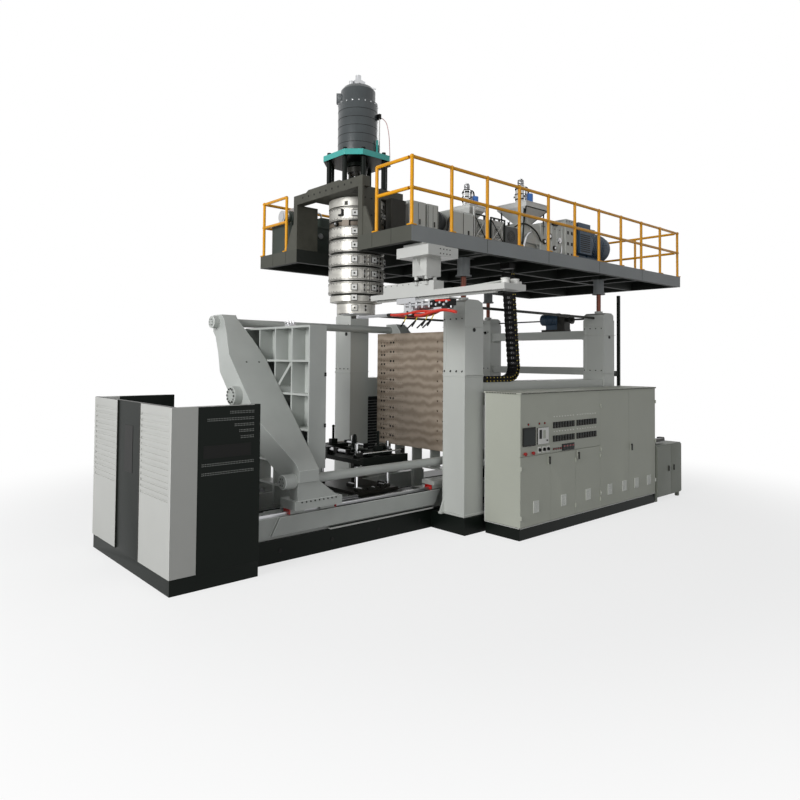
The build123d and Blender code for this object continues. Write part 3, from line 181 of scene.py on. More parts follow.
def weathering_group():
    """Patchy paint colour with dust that settles on faces that look up, and a matching roughness."""
    made = bpy.data.node_groups.get("weathering")
    if made:
        return made
    group, given, result = new_tree(
        "weathering", "ShaderNodeTree",
        (("Vector", "Vector"), ("Paint", "Color"), ("Patch Size", "Float", 1.5),
         ("Patchiness", "Float", 0.08),
         ("Dust", "Float", 0.15), ("Roughness", "Float", 0.45)),
        (("Color", "Color"), ("Roughness", "Float")))
    patches = add(group, "ShaderNodeTexNoise", {"Vector": given["Vector"], "Scale": given["Patch Size"],
                                                "Detail": 5})
    streaks = add(group, "ShaderNodeTexNoise", {"Vector": given["Vector"], "Scale": 14})
    spread = reckon(group, "SUBTRACT", patches.outputs["Fac"], 0.5)
    amount = reckon(group, "MULTIPLY", spread, given["Patchiness"])
    level = reckon(group, "MULTIPLY_ADD", amount, 4, 1)
    tint = add(group, "ShaderNodeVectorMath", {0: given["Paint"], "Scale": level}, operation="SCALE")
    shape = add(group, "ShaderNodeNewGeometry")
    split = add(group, "ShaderNodeSeparateXYZ", {0: shape.outputs["Normal"]})
    upward = add(group, "ShaderNodeMapRange", {"Value": split.outputs["Z"], "From Min": 0.4, "From Max": 1})
    dust = reckon(group, "MULTIPLY", upward.outputs[0], given["Dust"])
    speckle = reckon(group, "MULTIPLY", dust, streaks.outputs["Fac"])
    mix = add(group, "ShaderNodeMix", {0: speckle, 6: tint.outputs[0], 7: DUST_COLOUR}, data_type="RGBA")
    feed(group, result["Color"], mix.outputs[2])
    feed(group, result["Roughness"], reckon(group, "MULTIPLY_ADD", speckle, 0.35, given["Roughness"]))
    return group


def grain_group():
    """Height of a sprayed, brushed or pebbled skin."""
    made = bpy.data.node_groups.get("grain")
    if made:
        return made
    group, given, result = new_tree(
        "grain", "ShaderNodeTree", (("Vector", "Vector"), ("Grain Size", "Float", 400.0),
                                    ("Wave Size", "Float", 2.0)),
        (("Height", "Float"),))
    fine = add(group, "ShaderNodeTexNoise", {"Vector": given["Vector"], "Scale": given["Grain Size"]})
    wave = add(group, "ShaderNodeTexNoise", {"Vector": given["Vector"], "Scale": given["Wave Size"],
                                             "Detail": 1})
    feed(group, result["Height"], reckon(group, "ADD", fine.outputs["Fac"], wave.outputs["Fac"]))
    return group


# Finishes


def finish_of(name, colour, roughness=0.45, metallic=0.0, patchiness=0.05, patch_size=1.5, dust=0.12,
              grain_size=420.0, wave_size=2.0, bump=0.05, coat=0.0, stretch=(1, 1, 1), shine=0.5):
    """A painted, plated or moulded finish with its own wear and skin."""
    material = bpy.data.materials.get(name)
    if material:
        return material
    material = bpy.data.materials.new(name)
    material.use_nodes = True
    tree = material.node_tree
    place = add(tree, "ShaderNodeTexCoord").outputs["Object"]
    place = add(tree, "ShaderNodeMapping", {"Vector": place, "Scale": stretch}).outputs[0]
    wear = add(tree, "ShaderNodeGroup", node_tree=weathering_group())
    for label, value in (("Vector", place), ("Paint", (*colour, 1)), ("Patch Size", patch_size),
                         ("Patchiness", patchiness), ("Dust", dust), ("Roughness", roughness)):
        feed(tree, wear.inputs[label], value)
    skin = add(tree, "ShaderNodeGroup", node_tree=grain_group())
    for label, value in (("Vector", place), ("Grain Size", grain_size), ("Wave Size", wave_size)):
        feed(tree, skin.inputs[label], value)
    relief = add(tree, "ShaderNodeBump", {"Strength": bump, "Distance": 0.01,
                                          "Height": skin.outputs["Height"]})
    shader = tree.nodes["Principled BSDF"]
    for label, value in (("Base Color", wear.outputs["Color"]), ("Roughness", wear.outputs["Roughness"]),
                         ("Normal", relief.outputs["Normal"]), ("Metallic", metallic), ("Coat Weight", coat),
                         ("Specular IOR Level", shine)):
        feed(tree, shader.inputs[label], value)
    return material


def machine_paint():
    return finish_of("machine grey paint", colours().machine_grey, 0.42, patchiness=0.035, patch_size=0.9,
                     dust=0.16, bump=0.04, coat=0.15)


def clamp_paint():
    return finish_of("clamp grey paint", colours().clamp_grey, 0.44, patchiness=0.07, patch_size=2.2,
                     dust=0.2, bump=0.05, coat=0.12)


# Light rim on rounded edges: partly worn paint, partly a painted highlight along the edges.
def worn_and_highlit_edge():
    return finish_of("worn paint edge with painted highlight", srgb(228, 231, 227), 0.4, patchiness=0.08, patch_size=6, dust=0.08)


def light_paint():
    return finish_of("light grey paint", colours().light_grey, 0.4, patchiness=0.03, dust=0.12, coat=0.15)


def fence_paint():
    return finish_of("fence grey paint", srgb(178, 179, 175), 0.4, patchiness=0.03, dust=0.1)


def cabinet_paint():
    return finish_of("cabinet textured paint", colours().cabinet_grey, 0.52, patchiness=0.04, patch_size=1.2,
                     grain_size=900, bump=0.12)


def deck_paint():
    return finish_of("deck paint", colours().deck_grey, 0.5, patchiness=0.10, patch_size=1.6, dust=0.3,
                     bump=0.08)


def black_paint():
    return finish_of("black paint", colours().black, 0.4, patchiness=0.08, dust=0.03, shine=0.12)


def yellow_paint():
    return finish_of("yellow paint", colours().yellow, 0.35, patchiness=0.08, patch_size=4, dust=0.04,
                     shine=0.3)


def teal_paint():
    return finish_of("teal paint", colours().teal, 0.38, patchiness=0.06, patch_size=4, dust=0.1, coat=0.2)


def motor_paint():
    return finish_of("motor paint", colours().motor_blue, 0.45, patchiness=0.1, patch_size=5, dust=0.2,
                     bump=0.1)


def drum_paint():
    return finish_of("drum paint", colours().drum_blue, 0.4, dust=0.08)


def bare_steel():
    return finish_of("bright steel", srgb(196, 197, 199), 0.3, metallic=1.0, patchiness=0.06, patch_size=5,
                     dust=0.1, grain_size=60, bump=0.03, stretch=(1, 12, 12))


def chrome_steel():
    return finish_of("hard chrome", srgb(215, 216, 218), 0.14, metallic=1.0, patchiness=0.03, dust=0.04,
                     bump=0.01)


def screw_steel():
    return finish_of("greased screw steel", srgb(112, 62, 48), 0.42, metallic=0.55, patchiness=0.15,
                     patch_size=9)


def band_steel():
    return finish_of("heater band steel", srgb(190, 188, 181), 0.4, metallic=0.5, patchiness=0.2,
                     patch_size=5, dust=0.15, grain_size=45, bump=0.16, stretch=(1, 1, 3))


def dark_steel():
    return finish_of("dark oiled steel", srgb(42, 42, 38), 0.42, metallic=0.2, patchiness=0.15, patch_size=6,
                     dust=0.05, shine=0.2)


def black_plastic():
    return finish_of("black plastic", srgb(22, 22, 21), 0.45, dust=0.03, patchiness=0.05, grain_size=700,
                     shine=0.15)


def red_plastic():
    return finish_of("red plastic", srgb(196, 30, 26), 0.32, dust=0.04, patchiness=0.04, coat=0.3)


def white_plastic():
    return finish_of("white plastic", srgb(232, 232, 228), 0.4, dust=0.06, patchiness=0.03)


def yellow_plastic():
    return finish_of("yellow plastic", srgb(222, 196, 60), 0.4, dust=0.06, patchiness=0.03)


def rubber():
    return finish_of("hose rubber", srgb(26, 26, 27), 0.6, dust=0.12, patchiness=0.06, grain_size=600)


def red_hose():
    return finish_of("red hose", srgb(214, 52, 34), 0.36, dust=0.04, patchiness=0.05, coat=0.2)


def screen_glass():
    return finish_of("screen glass", srgb(34, 42, 41), 0.25, dust=0.0, patchiness=0.02, bump=0.0, shine=0.15)


def platen_steel():
    """Rust-toned planed steel with wide horizontal bands of tarnish."""
    name = "banded platen steel"
    material = bpy.data.materials.get(name)
    if material:
        return material
    material = finish_of(name, colours().platen_brown, 0.42, metallic=0.25, patchiness=0.1, patch_size=2.2,
                         bump=0.08)
    tree = material.node_tree
    place = next(n for n in tree.nodes if n.type == "TEX_COORD").outputs["Object"]
    bands = add(tree, "ShaderNodeTexWave", {"Vector": place, "Scale": 2.1, "Distortion": 4.5, "Detail": 5,
                                            "Detail Scale": 1.8}, bands_direction="Z")
    tone = add(tree, "ShaderNodeValToRGB", {"Fac": bands.outputs["Fac"]})
    for stop, colour in zip(tone.color_ramp.elements, (srgb(148, 132, 114), srgb(184, 168, 150))):
        stop.color = (*colour, 1)
    wear = next(n for n in tree.nodes if n.type == "GROUP" and n.node_tree.name == "weathering")
    feed(tree, wear.inputs["Paint"], tone.outputs["Color"])
    return material


def lamp_finish(name, colour, strength):
    """A lit lens or display."""
    material = finish_of(name, colour, 0.25, dust=0.0, patchiness=0.02, bump=0.0)
    shader = material.node_tree.nodes["Principled BSDF"]
    shader.inputs["Emission Color"].default_value = (*colour, 1)
    shader.inputs["Emission Strength"].default_value = strength
    return material


# Mesh helpers


class Shape:
    """Collects plates, bars and turned parts of one piece, each with its own finish."""

    def __init__(self):
        self.bm = bmesh.new()
        self.paints = []

    def claim(self, faces, paint):
        """Gives faces their finish."""
        if paint not in self.paints:
            self.paints.append(paint)
        for face in faces:
            face.material_index = self.paints.index(paint)

    def claim_corners(self, made, paint):
        self.claim({f for v in made["verts"] for f in v.link_faces}, paint)

    def box(self, low, high, paint, turn=None):
        centre = (Vector(low) + Vector(high)) / 2
        extent = Vector(high) - Vector(low)
        place = Matrix.Translation(centre) @ (turn or Matrix.Identity(4)) @ Matrix.Diagonal((*extent, 1))
        made = bmesh.ops.create_cube(self.bm, size=1, matrix=place)
        self.claim_corners(made, paint)
        return self

    def bar(self, start, end, radius, paint, sides=24, end_radius=None):
        a, b = Vector(start), Vector(end)
        way = b - a
        turn = way.to_track_quat("Z", "Y").to_matrix().to_4x4()
        place = Matrix.Translation((a + b) / 2) @ turn
        made = bmesh.ops.create_cone(self.bm, cap_ends=True, segments=sides, radius1=radius,
                                     radius2=radius if end_radius is None else end_radius, depth=way.length,
                                     matrix=place)
        self.claim_corners(made, paint)
        return self

    def ball(self, centre, radius, paint, sides=16):
        made = bmesh.ops.create_uvsphere(self.bm, u_segments=sides, v_segments=sides // 2, radius=radius,
                                         matrix=Matrix.Translation(centre))
        self.claim_corners(made, paint)
        return self

    def tube(self, points, radius, paint, sides=12):
        """Bent pipe through given points, rounded as a smooth curve."""
        curve = bpy.data.curves.new("pipe", "CURVE")
        curve.dimensions = "3D"
        curve.bevel_depth = radius
        curve.bevel_resolution = max(1, sides // 4)
        curve.use_fill_caps = True
        curve.resolution_u = 6
        line = curve.splines.new("NURBS")
        line.points.add(len(points) - 1)
        for knot, spot in zip(line.points, points):
            knot.co = (*spot, 1)
        line.order_u = 3
        line.use_endpoint_u = True
        holder = bpy.data.objects.new("pipe", curve)
        mesh = bpy.data.meshes.new_from_object(holder)
        start = len(self.bm.faces)
        self.bm.from_mesh(mesh)
        self.bm.faces.ensure_lookup_table()
        self.claim(self.bm.faces[start:], paint)
        bpy.data.objects.remove(holder)
        bpy.data.meshes.remove(mesh)
        bpy.data.curves.remove(curve)
        return self

    def turned(self, outline, place, paint, sides=48):
        """Turned part from (radius, height) points that start and end on the axis, or close up."""
        verts = [self.bm.verts.new(place @ Vector((r, 0, z))) for r, z in outline]
        edges = [self.bm.edges.new(pair) for pair in zip(verts, verts[1:])]
        if outline[0][0] > 0 and outline[-1][0] > 0:
            edges.append(self.bm.edges.new((verts[-1], verts[0])))
        axis = place.to_3x3() @ Z_AXIS
        made = bmesh.ops.spin(self.bm, geom=verts + edges, cent=place.translation, axis=axis,
                              angle=math.tau, steps=sides, use_merge=True)
        touched = set(verts) | {g for g in made["geom_last"] if isinstance(g, bmesh.types.BMVert)}
        island = self.linked_faces(touched)
        bmesh.ops.remove_doubles(self.bm, verts=list({v for f in island for v in f.verts}), dist=1e-6)
        island = [f for f in island if f.is_valid]
        bmesh.ops.recalc_face_normals(self.bm, faces=island)
        self.claim(island, paint)
        return self

    @staticmethod
    def linked_faces(seeds):
        seen, queue = set(), [f for v in seeds if v.is_valid for f in v.link_faces]
        while queue:
            face = queue.pop()
            if face in seen:
                continue
            seen.add(face)
            for edge in face.edges:
                queue.extend(f for f in edge.link_faces if f not in seen)
        return seen

    def object(self, name, body, edge=0.0, smooth=35, stands_for=()):
        mesh = bpy.data.meshes.new(name)
        self.bm.to_mesh(mesh)
        self.bm.free()
        return placed(name, mesh, self.paints, body, edge, smooth, stands_for)


def placed(name, mesh, paints, body, edge=0.0, smooth=35, stands_for=(), rim=None):
    """Links a finished mesh as a piece that rides on its body. rim is the finish of its rounded edges, such
    as worn paint with a painted highlight.
    """
    for paint in paints:
        mesh.materials.append(paint)
    for face in mesh.polygons:
        face.use_smooth = True
    mesh.set_sharp_from_angle(angle=math.radians(smooth))
    made = bpy.data.objects.new(name, mesh)
    bpy.context.collection.objects.link(made)
    if edge:
        rounding = made.modifiers.new("rounded edges", "BEVEL")
        rounding.width = edge
        rounding.segments = 2
        rounding.limit_method = "ANGLE"
        rounding.angle_limit = math.radians(smooth)
        rounding.harden_normals = True
        if rim:
            mesh.materials.append(rim)
            rounding.material = len(mesh.materials) - 1
    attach(made, body)
    if stands_for:
        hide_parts(*stands_for)
    return made


def merged_copy(node):
    """The node's mesh with its doubles merged and its flat triangles joined."""
    bm = bmesh.new()
    bm.from_mesh(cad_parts[node].data)
    bmesh.ops.remove_doubles(bm, verts=bm.verts, dist=2e-5)
    bmesh.ops.dissolve_limit(bm, angle_limit=math.radians(0.5), verts=bm.verts, edges=bm.edges)
    return bm


def dressed(node, body, paint, edge=None, repaint=(), swell=0.0, rim=None):
    """Stands for a CAD node with its finish and rounded edges. repaint pairs tests of a face with paints."""
    bm = merged_copy(node)
    if swell:
        bm.normal_update()
        for vert in bm.verts:
            vert.co += vert.normal * swell
    paints = [paint]
    for test, other in repaint:
        if other not in paints:
            paints.append(other)
        for face in bm.faces:
            if test(face.calc_center_median(), face.normal):
                face.material_index = paints.index(other)
    mesh = bpy.data.meshes.new(node + "_skin")
    for face in bm.faces:
        face.smooth = True
    bm.to_mesh(mesh)
    bm.free()
    mesh_edge = sizes().fine_edge if edge is None else edge
    return placed(node + "_skin", mesh, paints, body, mesh_edge, 35, (node,), rim)


# Geometry Nodes for what repeats


def prism(tree, given):
    """Unit prism with the given number of sides."""
    return add(tree, "GeometryNodeMeshCylinder", {"Vertices": given["Sides"], "Radius": 1, "Depth": 1},
               fill_type="NGON").outputs["Mesh"]


def spread_out(tree, given, result, points, shape, **turn):
    """Puts the sized shape on every point, makes the copies real and gives them their material."""
    filled = add(tree, "GeometryNodeInstanceOnPoints", {"Points": points, "Instance": shape,
                                                        "Scale": given["Size"], **turn})
    real = add(tree, "GeometryNodeRealizeInstances", {0: filled.outputs[0]})
    painted = add(tree, "GeometryNodeSetMaterial", {0: real.outputs[0], "Material": given["Material"]})
    feed(tree, result[0], painted.outputs[0])
    return tree


def rows_tree():
    """Rows and columns of one small prism, such as bolt heads, holes or slots."""
    made = bpy.data.node_groups.get("rows of prisms")
    if made:
        return made
    tree, given, result = new_tree(
        "rows of prisms", "GeometryNodeTree",
        (("Columns", "Int", 4), ("Rows", "Int", 1), ("Column Pitch", "Float", 0.1),
         ("Row Pitch", "Float", 0.1),
         ("Size", "Vector"), ("Sides", "Int", 6), ("Material", "Material")), (("Geometry", "Geometry"),))

    def line(count, pitch, way):
        step = add(tree, "ShaderNodeCombineXYZ", {way: given[pitch]})
        return add(tree, "GeometryNodeMeshLine", {"Count": given[count], "Offset": step.outputs[0]},
                   mode="OFFSET").outputs["Mesh"]

    across = add(tree, "GeometryNodeInstanceOnPoints", {"Points": line("Rows", "Row Pitch", "Y"),
                                                        "Instance": line("Columns", "Column Pitch", "X")})
    points = add(tree, "GeometryNodeRealizeInstances", {0: across.outputs[0]}).outputs[0]
    # Turned so that a prism of four sides has its sides along the rows and columns
    squared = add(tree, "GeometryNodeTransform", {"Geometry": prism(tree, given),
                                                  "Rotation": (0, 0, math.radians(45))})
    return spread_out(tree, given, result, points, squared.outputs["Geometry"])


def ring_tree():
    """A ring of one small prism round the Z axis, each turned to face outwards or lying flat."""
    made = bpy.data.node_groups.get("ring of prisms")
    if made:
        return made
    tree, given, result = new_tree(
        "ring of prisms", "GeometryNodeTree",
        (("Count", "Int", 12), ("Ring Radius", "Float", 0.3), ("Size", "Vector"), ("Sides", "Int", 6),
         ("Outwards", "Float", 0.0), ("Material", "Material")), (("Geometry", "Geometry"),))
    circle = add(tree, "GeometryNodeMeshCircle", {"Vertices": given["Count"], "Radius": given["Ring Radius"]})
    place = add(tree, "GeometryNodeInputPosition")
    outward = add(tree, "FunctionNodeAlignRotationToVector",
                  {"Factor": given["Outwards"], "Vector": place.outputs[0]}, axis="Z")
    return spread_out(tree, given, result, circle.outputs["Mesh"], prism(tree, given),
                      Rotation=outward.outputs[0])


def grown(tree, values, spots):
    """Evaluates a tree once and returns its mesh, copied to every spot."""
    seed = bpy.data.objects.new("seed", bpy.data.meshes.new("seed"))
    bpy.context.collection.objects.link(seed)
    grower = seed.modifiers.new("grower", "NODES")
    grower.node_group = tree
    for item in tree.interface.items_tree:
        if item.in_out == "INPUT" and item.name in values:
            grower[item.identifier] = values[item.name]
    bpy.context.view_layer.update()
    view = seed.evaluated_get(bpy.context.evaluated_depsgraph_get())
    mesh = bpy.data.meshes.new_from_object(view)
    bpy.data.objects.remove(seed)
    joined = bmesh.new()
    for spot in spots:
        moved = mesh.copy()
        moved.transform(spot)
        joined.from_mesh(moved)
        bpy.data.meshes.remove(moved)
    result = bpy.data.meshes.new("grown")
    joined.to_mesh(result)
    joined.free()
    return result


def repeated(name, body, tree, spots, paint, **values):
    """Piece that a tree grows at every spot."""
    values = {key.replace("_", " "): value for key, value in values.items()}
    mesh = grown(tree, {"Material": paint, **values}, spots)
    mesh.name = name
    return placed(name, mesh, [paint], body)


def rows(name, body, spots, columns, pitch, size, paint, sides=6, count=1, rise=0.1):
    """Piece made of rows of prisms at every spot: columns along its X axis, and count rows up its Y axis."""
    return repeated(name, body, rows_tree(), spots, paint, Columns=columns, Rows=count, Column_Pitch=pitch,
                    Row_Pitch=rise, Size=size, Sides=sides)


def rings(name, body, spots, count, ring_radius, size, sides, paint, outwards=0.0):
    """Piece made of rings of prisms at every spot."""
    return repeated(name, body, ring_tree(), spots, paint, Count=count, Ring_Radius=ring_radius, Size=size,
                    Sides=sides, Outwards=outwards)


def at(x, y, z, facing=FACING_UP):
    return Matrix.Translation((x, y, z)) @ facing


# Pieces of the machine


class MACHINE_OT_bed(bpy.types.Operator):
    """Floor frame, guide beds, rails, ledges and cover plates"""
    bl_idname = "machine.bed"
    bl_label = "Floor frame and bed"

    def execute(self, context):
        dressed("base_frame", "frame", black_paint(), 0.008)
        dressed("guide_beds", "frame", clamp_paint(), 0.006, rim=worn_and_highlit_edge())
        dressed("linear_rails", "frame", bare_steel(), 0.002)
        low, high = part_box("guide_beds")
        ledge = Shape()
        for side in (-1, 1):
            face = high.y if side > 0 else low.y
            ledge.box((-1.15, face - 0.03, low.z + 0.004), (0.76, face + 0.03, low.z + 0.022), light_paint())
            ledge.box((-1.15, face - 0.012, low.z + 0.022), (0.76, face + 0.012, low.z + 0.034),
                      black_paint())
        ledge.object("bed_ledges", "frame", 0.002)
        # Rail bolts between the carriages, and the covers on the bed between the two rails
        rail_low, rail_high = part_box("linear_rails")
        spots = [at(rail_low.x + 0.05, side * RAIL_Y, rail_high.z) for side in (-1, 1)]
        rows("rail_bolts", "frame", spots, 44, 0.1, (0.008, 0.008, 0.003), dark_steel())
        covers = Shape()
        strips = ((0.53, 0.805), (0.895, 0.925))
        for y0, y1 in [(-b, -a) for a, b in strips] + list(strips):
            for x0, x1 in ((-1.02, -0.42), (-0.4, 0.2), (0.22, 0.74)):
                covers.box((x0, y0, 0.5505), (x1, y1, 0.556), black_paint())
        covers.object("bed_cover_plates", "frame", 0.001)
        rows("floor_frame_plugs", "frame", [at(-1.9, -0.941, 0.14, FACING_NEAR)], 4, 0.8,
             (0.028, 0.028, 0.008), black_plastic(), sides=20)
        return {"FINISHED"}


class MACHINE_OT_clamp(bpy.types.Operator):
    """Yokes, tie bars with their nuts, and the clamp cylinder"""
    bl_idname = "machine.clamp"
    bl_label = "Clamp frame"

    def execute(self, context):
        for node in ("left_yoke", "right_yoke", "tie_bar_nuts", "clamp_cylinder"):
            dressed(node, "clamp", clamp_paint(), 0.009, rim=worn_and_highlit_edge())
        dressed("tie_bars", "clamp", clamp_paint(), 0.004)
        dressed("ram_sleeve", "ram_sleeve", chrome_steel(), 0.002)
        dressed("clamp_ram", "moving_platen", chrome_steel(), 0.002)
        # Cap screws on the ends of the tie bars
        low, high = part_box("tie_bar_nuts")
        near_z, far_z = low.z + 0.092, high.z - 0.092
        ends = [at(low.x - 0.004, side * 1.0, z, FACING_LEFT) for side, z in ((-1, near_z), (1, far_z))]
        rings("tie_bar_end_screws", "clamp", ends, 6, 0.045, (0.009, 0.009, 0.012), 6, dark_steel())
        # Bolts of the left yoke's foot, and the sight holes on its slope
        rows("yoke_foot_bolts", "clamp", [at(-1.67, -1.071, 0.725, FACING_NEAR)], 9, 0.066,
             (0.011, 0.011, 0.01), dark_steel())
        sloped = Matrix.Rotation(math.radians(46), 4, "X")
        rows("yoke_sight_holes", "clamp", [at(-1.783, 0.185, 2.4815, sloped)], 2, 0.197,
             (0.013, 0.013, 0.003), dark_steel(), sides=16)
        rings("clamp_cylinder_holes", "clamp", [at(-2.1242, 0, CLAMP_AXIS, FACING_LEFT)], 12, 0.094,
              (0.0135, 0.0135, 0.003), 14, dark_steel())
        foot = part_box("left_yoke")[0]
        wipers = Shape()
        # The two on the left ride on the near rail alone
        for x, side in ((foot.x + 0.25, -1), (-1.03, -1), (0.77, -1), (0.77, 1), (1.59, -1), (1.59, 1)):
            y = side * RAIL_Y
            wipers.box((x - 0.008, y - 0.072, 0.557), (x + 0.008, y + 0.072, 0.628), red_plastic())
        wipers.object("carriage_wipers", "clamp", 0.003)
        return {"FINISHED"}


class MACHINE_OT_platens(bpy.types.Operator):
    """Left and right platen, the pinion between their racks, and fittings on their edges"""
    bl_idname = "machine.platens"
    bl_label = "Platens"

    def execute(self, context):
        dressed("left_platen", "moving_platen", clamp_paint(), 0.004, rim=worn_and_highlit_edge())

        def is_face_plate(centre, normal):
            return centre.x < 1.235 and centre.z > 1.07

        dressed("right_platen", "clamp", machine_paint(), 0.004, ((is_face_plate, platen_steel()),))
        dressed("sync_pinion", "pinion", bare_steel(), 0.001)
        face = 1.1695
        holes = []
        for z in (1.17, 1.33, 1.49, 1.65, 1.81, 1.97, 2.13, 2.29, 2.45, 2.61, 2.77):
            holes += [at(face, y, z + lift, FACING_LEFT) for y, lift in ((0.74, 0), (0.5, 0.055), (-0.8, 0))]
        rows("platen_mould_holes", "clamp", holes, 2, 0.07, (0.019, 0.019, 0.003), black_plastic(), sides=14)
        rows("platen_tapped_holes", "clamp", [at(face, 0.8, 1.1, FACING_LEFT)], 12, 0.055,
             (0.0055, 0.0055, 0.002), dark_steel(), sides=8, count=23, rise=0.08)
        valve = Shape()
        x, y, z = -1.32, -0.2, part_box("left_platen")[1].z
        valve.box((x - 0.06, y - 0.05, z), (x + 0.06, y + 0.05, z + 0.035), bare_steel())
        for shift in (-0.045, 0.0, 0.045):
            valve.bar((x + shift, y, z + 0.03), (x + shift, y, z + 0.085), 0.014, chrome_steel(), 16)
        valve.bar((x - 0.09, y, z + 0.05), (x + 0.09, y, z + 0.05), 0.012, chrome_steel(), 16)
        valve.object("platen_valve", "moving_platen", 0.003)
        catches = Shape()
        for z0 in (1.62, 2.3):
            catches.box((-1.2, -0.872, z0), (-1.172, -0.86, z0 + 0.05), black_plastic())
        catches.object("platen_switches", "moving_platen", 0.002)
        return {"FINISHED"}


class MACHINE_OT_gantry(bpy.types.Operator):
    """Pillars, beams, jack gearboxes, lift motor and jack screws"""
    bl_idname = "machine.gantry"
    bl_label = "Gantry and lift"

    def execute(self, context):
        dressed("gantry", "frame", machine_paint(), 0.006)

        def is_motor(centre, normal):
            return 4.6 < centre.x < 4.9 and -0.52 < centre.y < -0.1 and centre.z > 3.2

        def is_drive(centre, normal):
            return ((-0.84 < centre.y < -0.51 and centre.x > 4.6) or abs(centre.y) < 1.13
                    or 1.2 < centre.x < 4.58)

        dressed("lift_drive", "frame", machine_paint(), 0.004,
                ((is_drive, dark_steel()), (is_motor, motor_paint())))
        dressed("jack_screws", "platform", screw_steel(), 0.002)
        screws = []
        for x in (0.779, 4.579):
            for y in (-1.17, 1.56):
                for z in (2.36, 3.14):
                    screws.append(at(x, y, z, FACING_LEFT))
        rows("pillar_cover_screws", "frame", screws, 4, 0.118, (0.011, 0.011, 0.012), dark_steel())
        rows("cover_band_screws", "frame", [at(0.785, -1.17, 2.37, FACING_LEFT)], 4, 0.12,
             (0.012, 0.012, 0.014), dark_steel())
        eyes = [at(x, -1.581, 2.98, FACING_NEAR) for x in (0.98, 4.76)]
        rows("pillar_lifting_eyes", "frame", eyes, 1, 0.1, (0.03, 0.03, 0.01), black_plastic(), sides=20)
        sights = [at(4.5595, 1.27, 3.125, FACING_LEFT), at(0.7795, 1.27, 2.98, FACING_LEFT)]
        rows("pillar_sight_holes", "frame", sights, 1, 0.1, (0.034, 0.034, 0.004), black_plastic(), sides=20)
        seams = Shape()
        for x0, x1 in ((0.779, 1.191), (4.559, 4.961)):
            for y0, y1 in ((-1.596, -1.124), (1.124, 1.596)):
                for z in (2.31, 3.02):
                    seams.box((x0, y0, z), (x1, y1, z + 0.008), light_paint())
        seams.object("pillar_seam_bands", "frame", 0.001)
        self.thread_turns()
        self.far_guard()
        post = Shape()
        post.box((5.075, -1.6, 0.0), (5.13, -1.55, 3.78), black_paint())
        post.box((5.03, -1.64, 0.0), (5.17, -1.51, 0.012), black_paint())
        post.box((4.95, -1.585, 2.25), (5.08, -1.565, 2.35), black_paint())
        post.object("cable_post", "frame", 0.003)
        return {"FINISHED"}

    def thread_turns(self):
        """Thread crests on the bare length of each jack screw."""
        low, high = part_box("jack_screws")
        crests = Shape()
        for x in (low.x + 0.04, high.x - 0.04):
            for y in (low.y + 0.04, high.y - 0.04):
                for turn in range(12):
                    z = 3.49 + 0.024 * turn
                    crests.turned([(0.036, z), (0.0415, z + 0.005), (0.0415, z + 0.011), (0.036, z + 0.016)],
                                  Matrix.Translation((x, y, 0)), screw_steel(), 20)
        crests.object("jack_thread_crests", "platform")

    def far_guard(self):
        """Louvred dark panel under the far side beam."""
        guard = Shape()
        x0, x1, y0, y1, z0, z1 = 1.2, 1.92, 1.35, 1.37, 0.452, 1.862
        for a, b in ((x0, x0 + 0.03), (x1 - 0.03, x1)):
            guard.box((a, y0 - 0.015, z0), (b, y1, z1), black_paint())
        for a, b in ((z0, z0 + 0.04), (z1 - 0.04, z1)):
            guard.box((x0, y0 - 0.015, a), (x1, y1, b), black_paint())
        guard.box((x0, y1 - 0.006, z0), (x1, y1, z1), black_paint())
        guard.object("far_guard_frame", "frame", 0.002)
        slat = finish_of("guard slat paint", srgb(112, 114, 110), 0.5, dust=0.1)
        rows("far_guard_slats", "frame", [at((x0 + x1) / 2, y0 - 0.002, z0 + 0.1, FACING_NEAR)], 1, 0.1,
             (0.46, 0.012, 0.012), slat, sides=4, count=24, rise=0.053)


class MACHINE_OT_fence(bpy.types.Operator):
    """End fence with its louvres and perforations"""
    bl_idname = "machine.fence"
    bl_label = "End fence"

    def execute(self, context):
        dressed("fence_light_panels", "frame", fence_paint(), 0.008)
        dressed("fence_dark_panels", "frame", black_paint(), 0.008)
        low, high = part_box("fence_dark_panels")
        slots = black_plastic()
        grey = finish_of("perforation grey", srgb(120, 123, 119), 0.5, dust=0.0)
        pitch = 0.0195
        # How far each pair of rows is below the top edge, and how many holes it has
        pairs = ((0.09, 16), (0.165, 30), (0.235, 13), (0.305, 10), (0.375, 9), (0.66, 33), (0.76, 33))
        for end, face in (("near", low.y - 0.0005), ("far", high.y + 0.0005)):
            for line, (drop, count) in enumerate(pairs):
                spot = at(-2.45 - pitch * count, face, high.z - drop, FACING_NEAR)
                rows(f"fence_perforations_{end}_{line}", "frame", [spot], count, pitch,
                     (0.0062, 0.0062, 0.002), grey, count=2, rise=0.02)
        plates = Shape()
        plates.box((low.x - 0.003, -0.13, 1.16), (low.x + 0.002, 0.13, 1.72), slots)
        plates.box((-3.08, low.y - 0.003, 1.42), (-2.5, low.y + 0.002, 1.56), slots)
        plates.object("fence_bare_plates", "frame", 0.002)
        trims = Shape()
        for y in (-0.372, 0.372):
            trims.box((low.x - 0.014, y - 0.006, 0.18), (low.x + 0.01, y + 0.006, high.z), dark_steel())
        trims.box((low.x, low.y + 0.005, high.z), (low.x + 0.045, high.y - 0.005, high.z + 0.004),
                  dark_steel())
        corner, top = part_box("fence_light_panels")
        # The light bars along the corner and top edges of the light panels are painted edge highlights.
        rim = light_paint()
        for y in (corner.y + 0.004, top.y - 0.004):
            trims.bar((corner.x + 0.004, y, 0.19), (corner.x + 0.004, y, top.z - 0.004), 0.0055, rim, 10)
            trims.bar((corner.x + 0.004, y, top.z - 0.003), (-2.46, y, top.z - 0.003), 0.0045, rim, 10)
        trims.object("fence_trims_and_painted_highlights", "frame", 0.002)
        return {"FINISHED"}


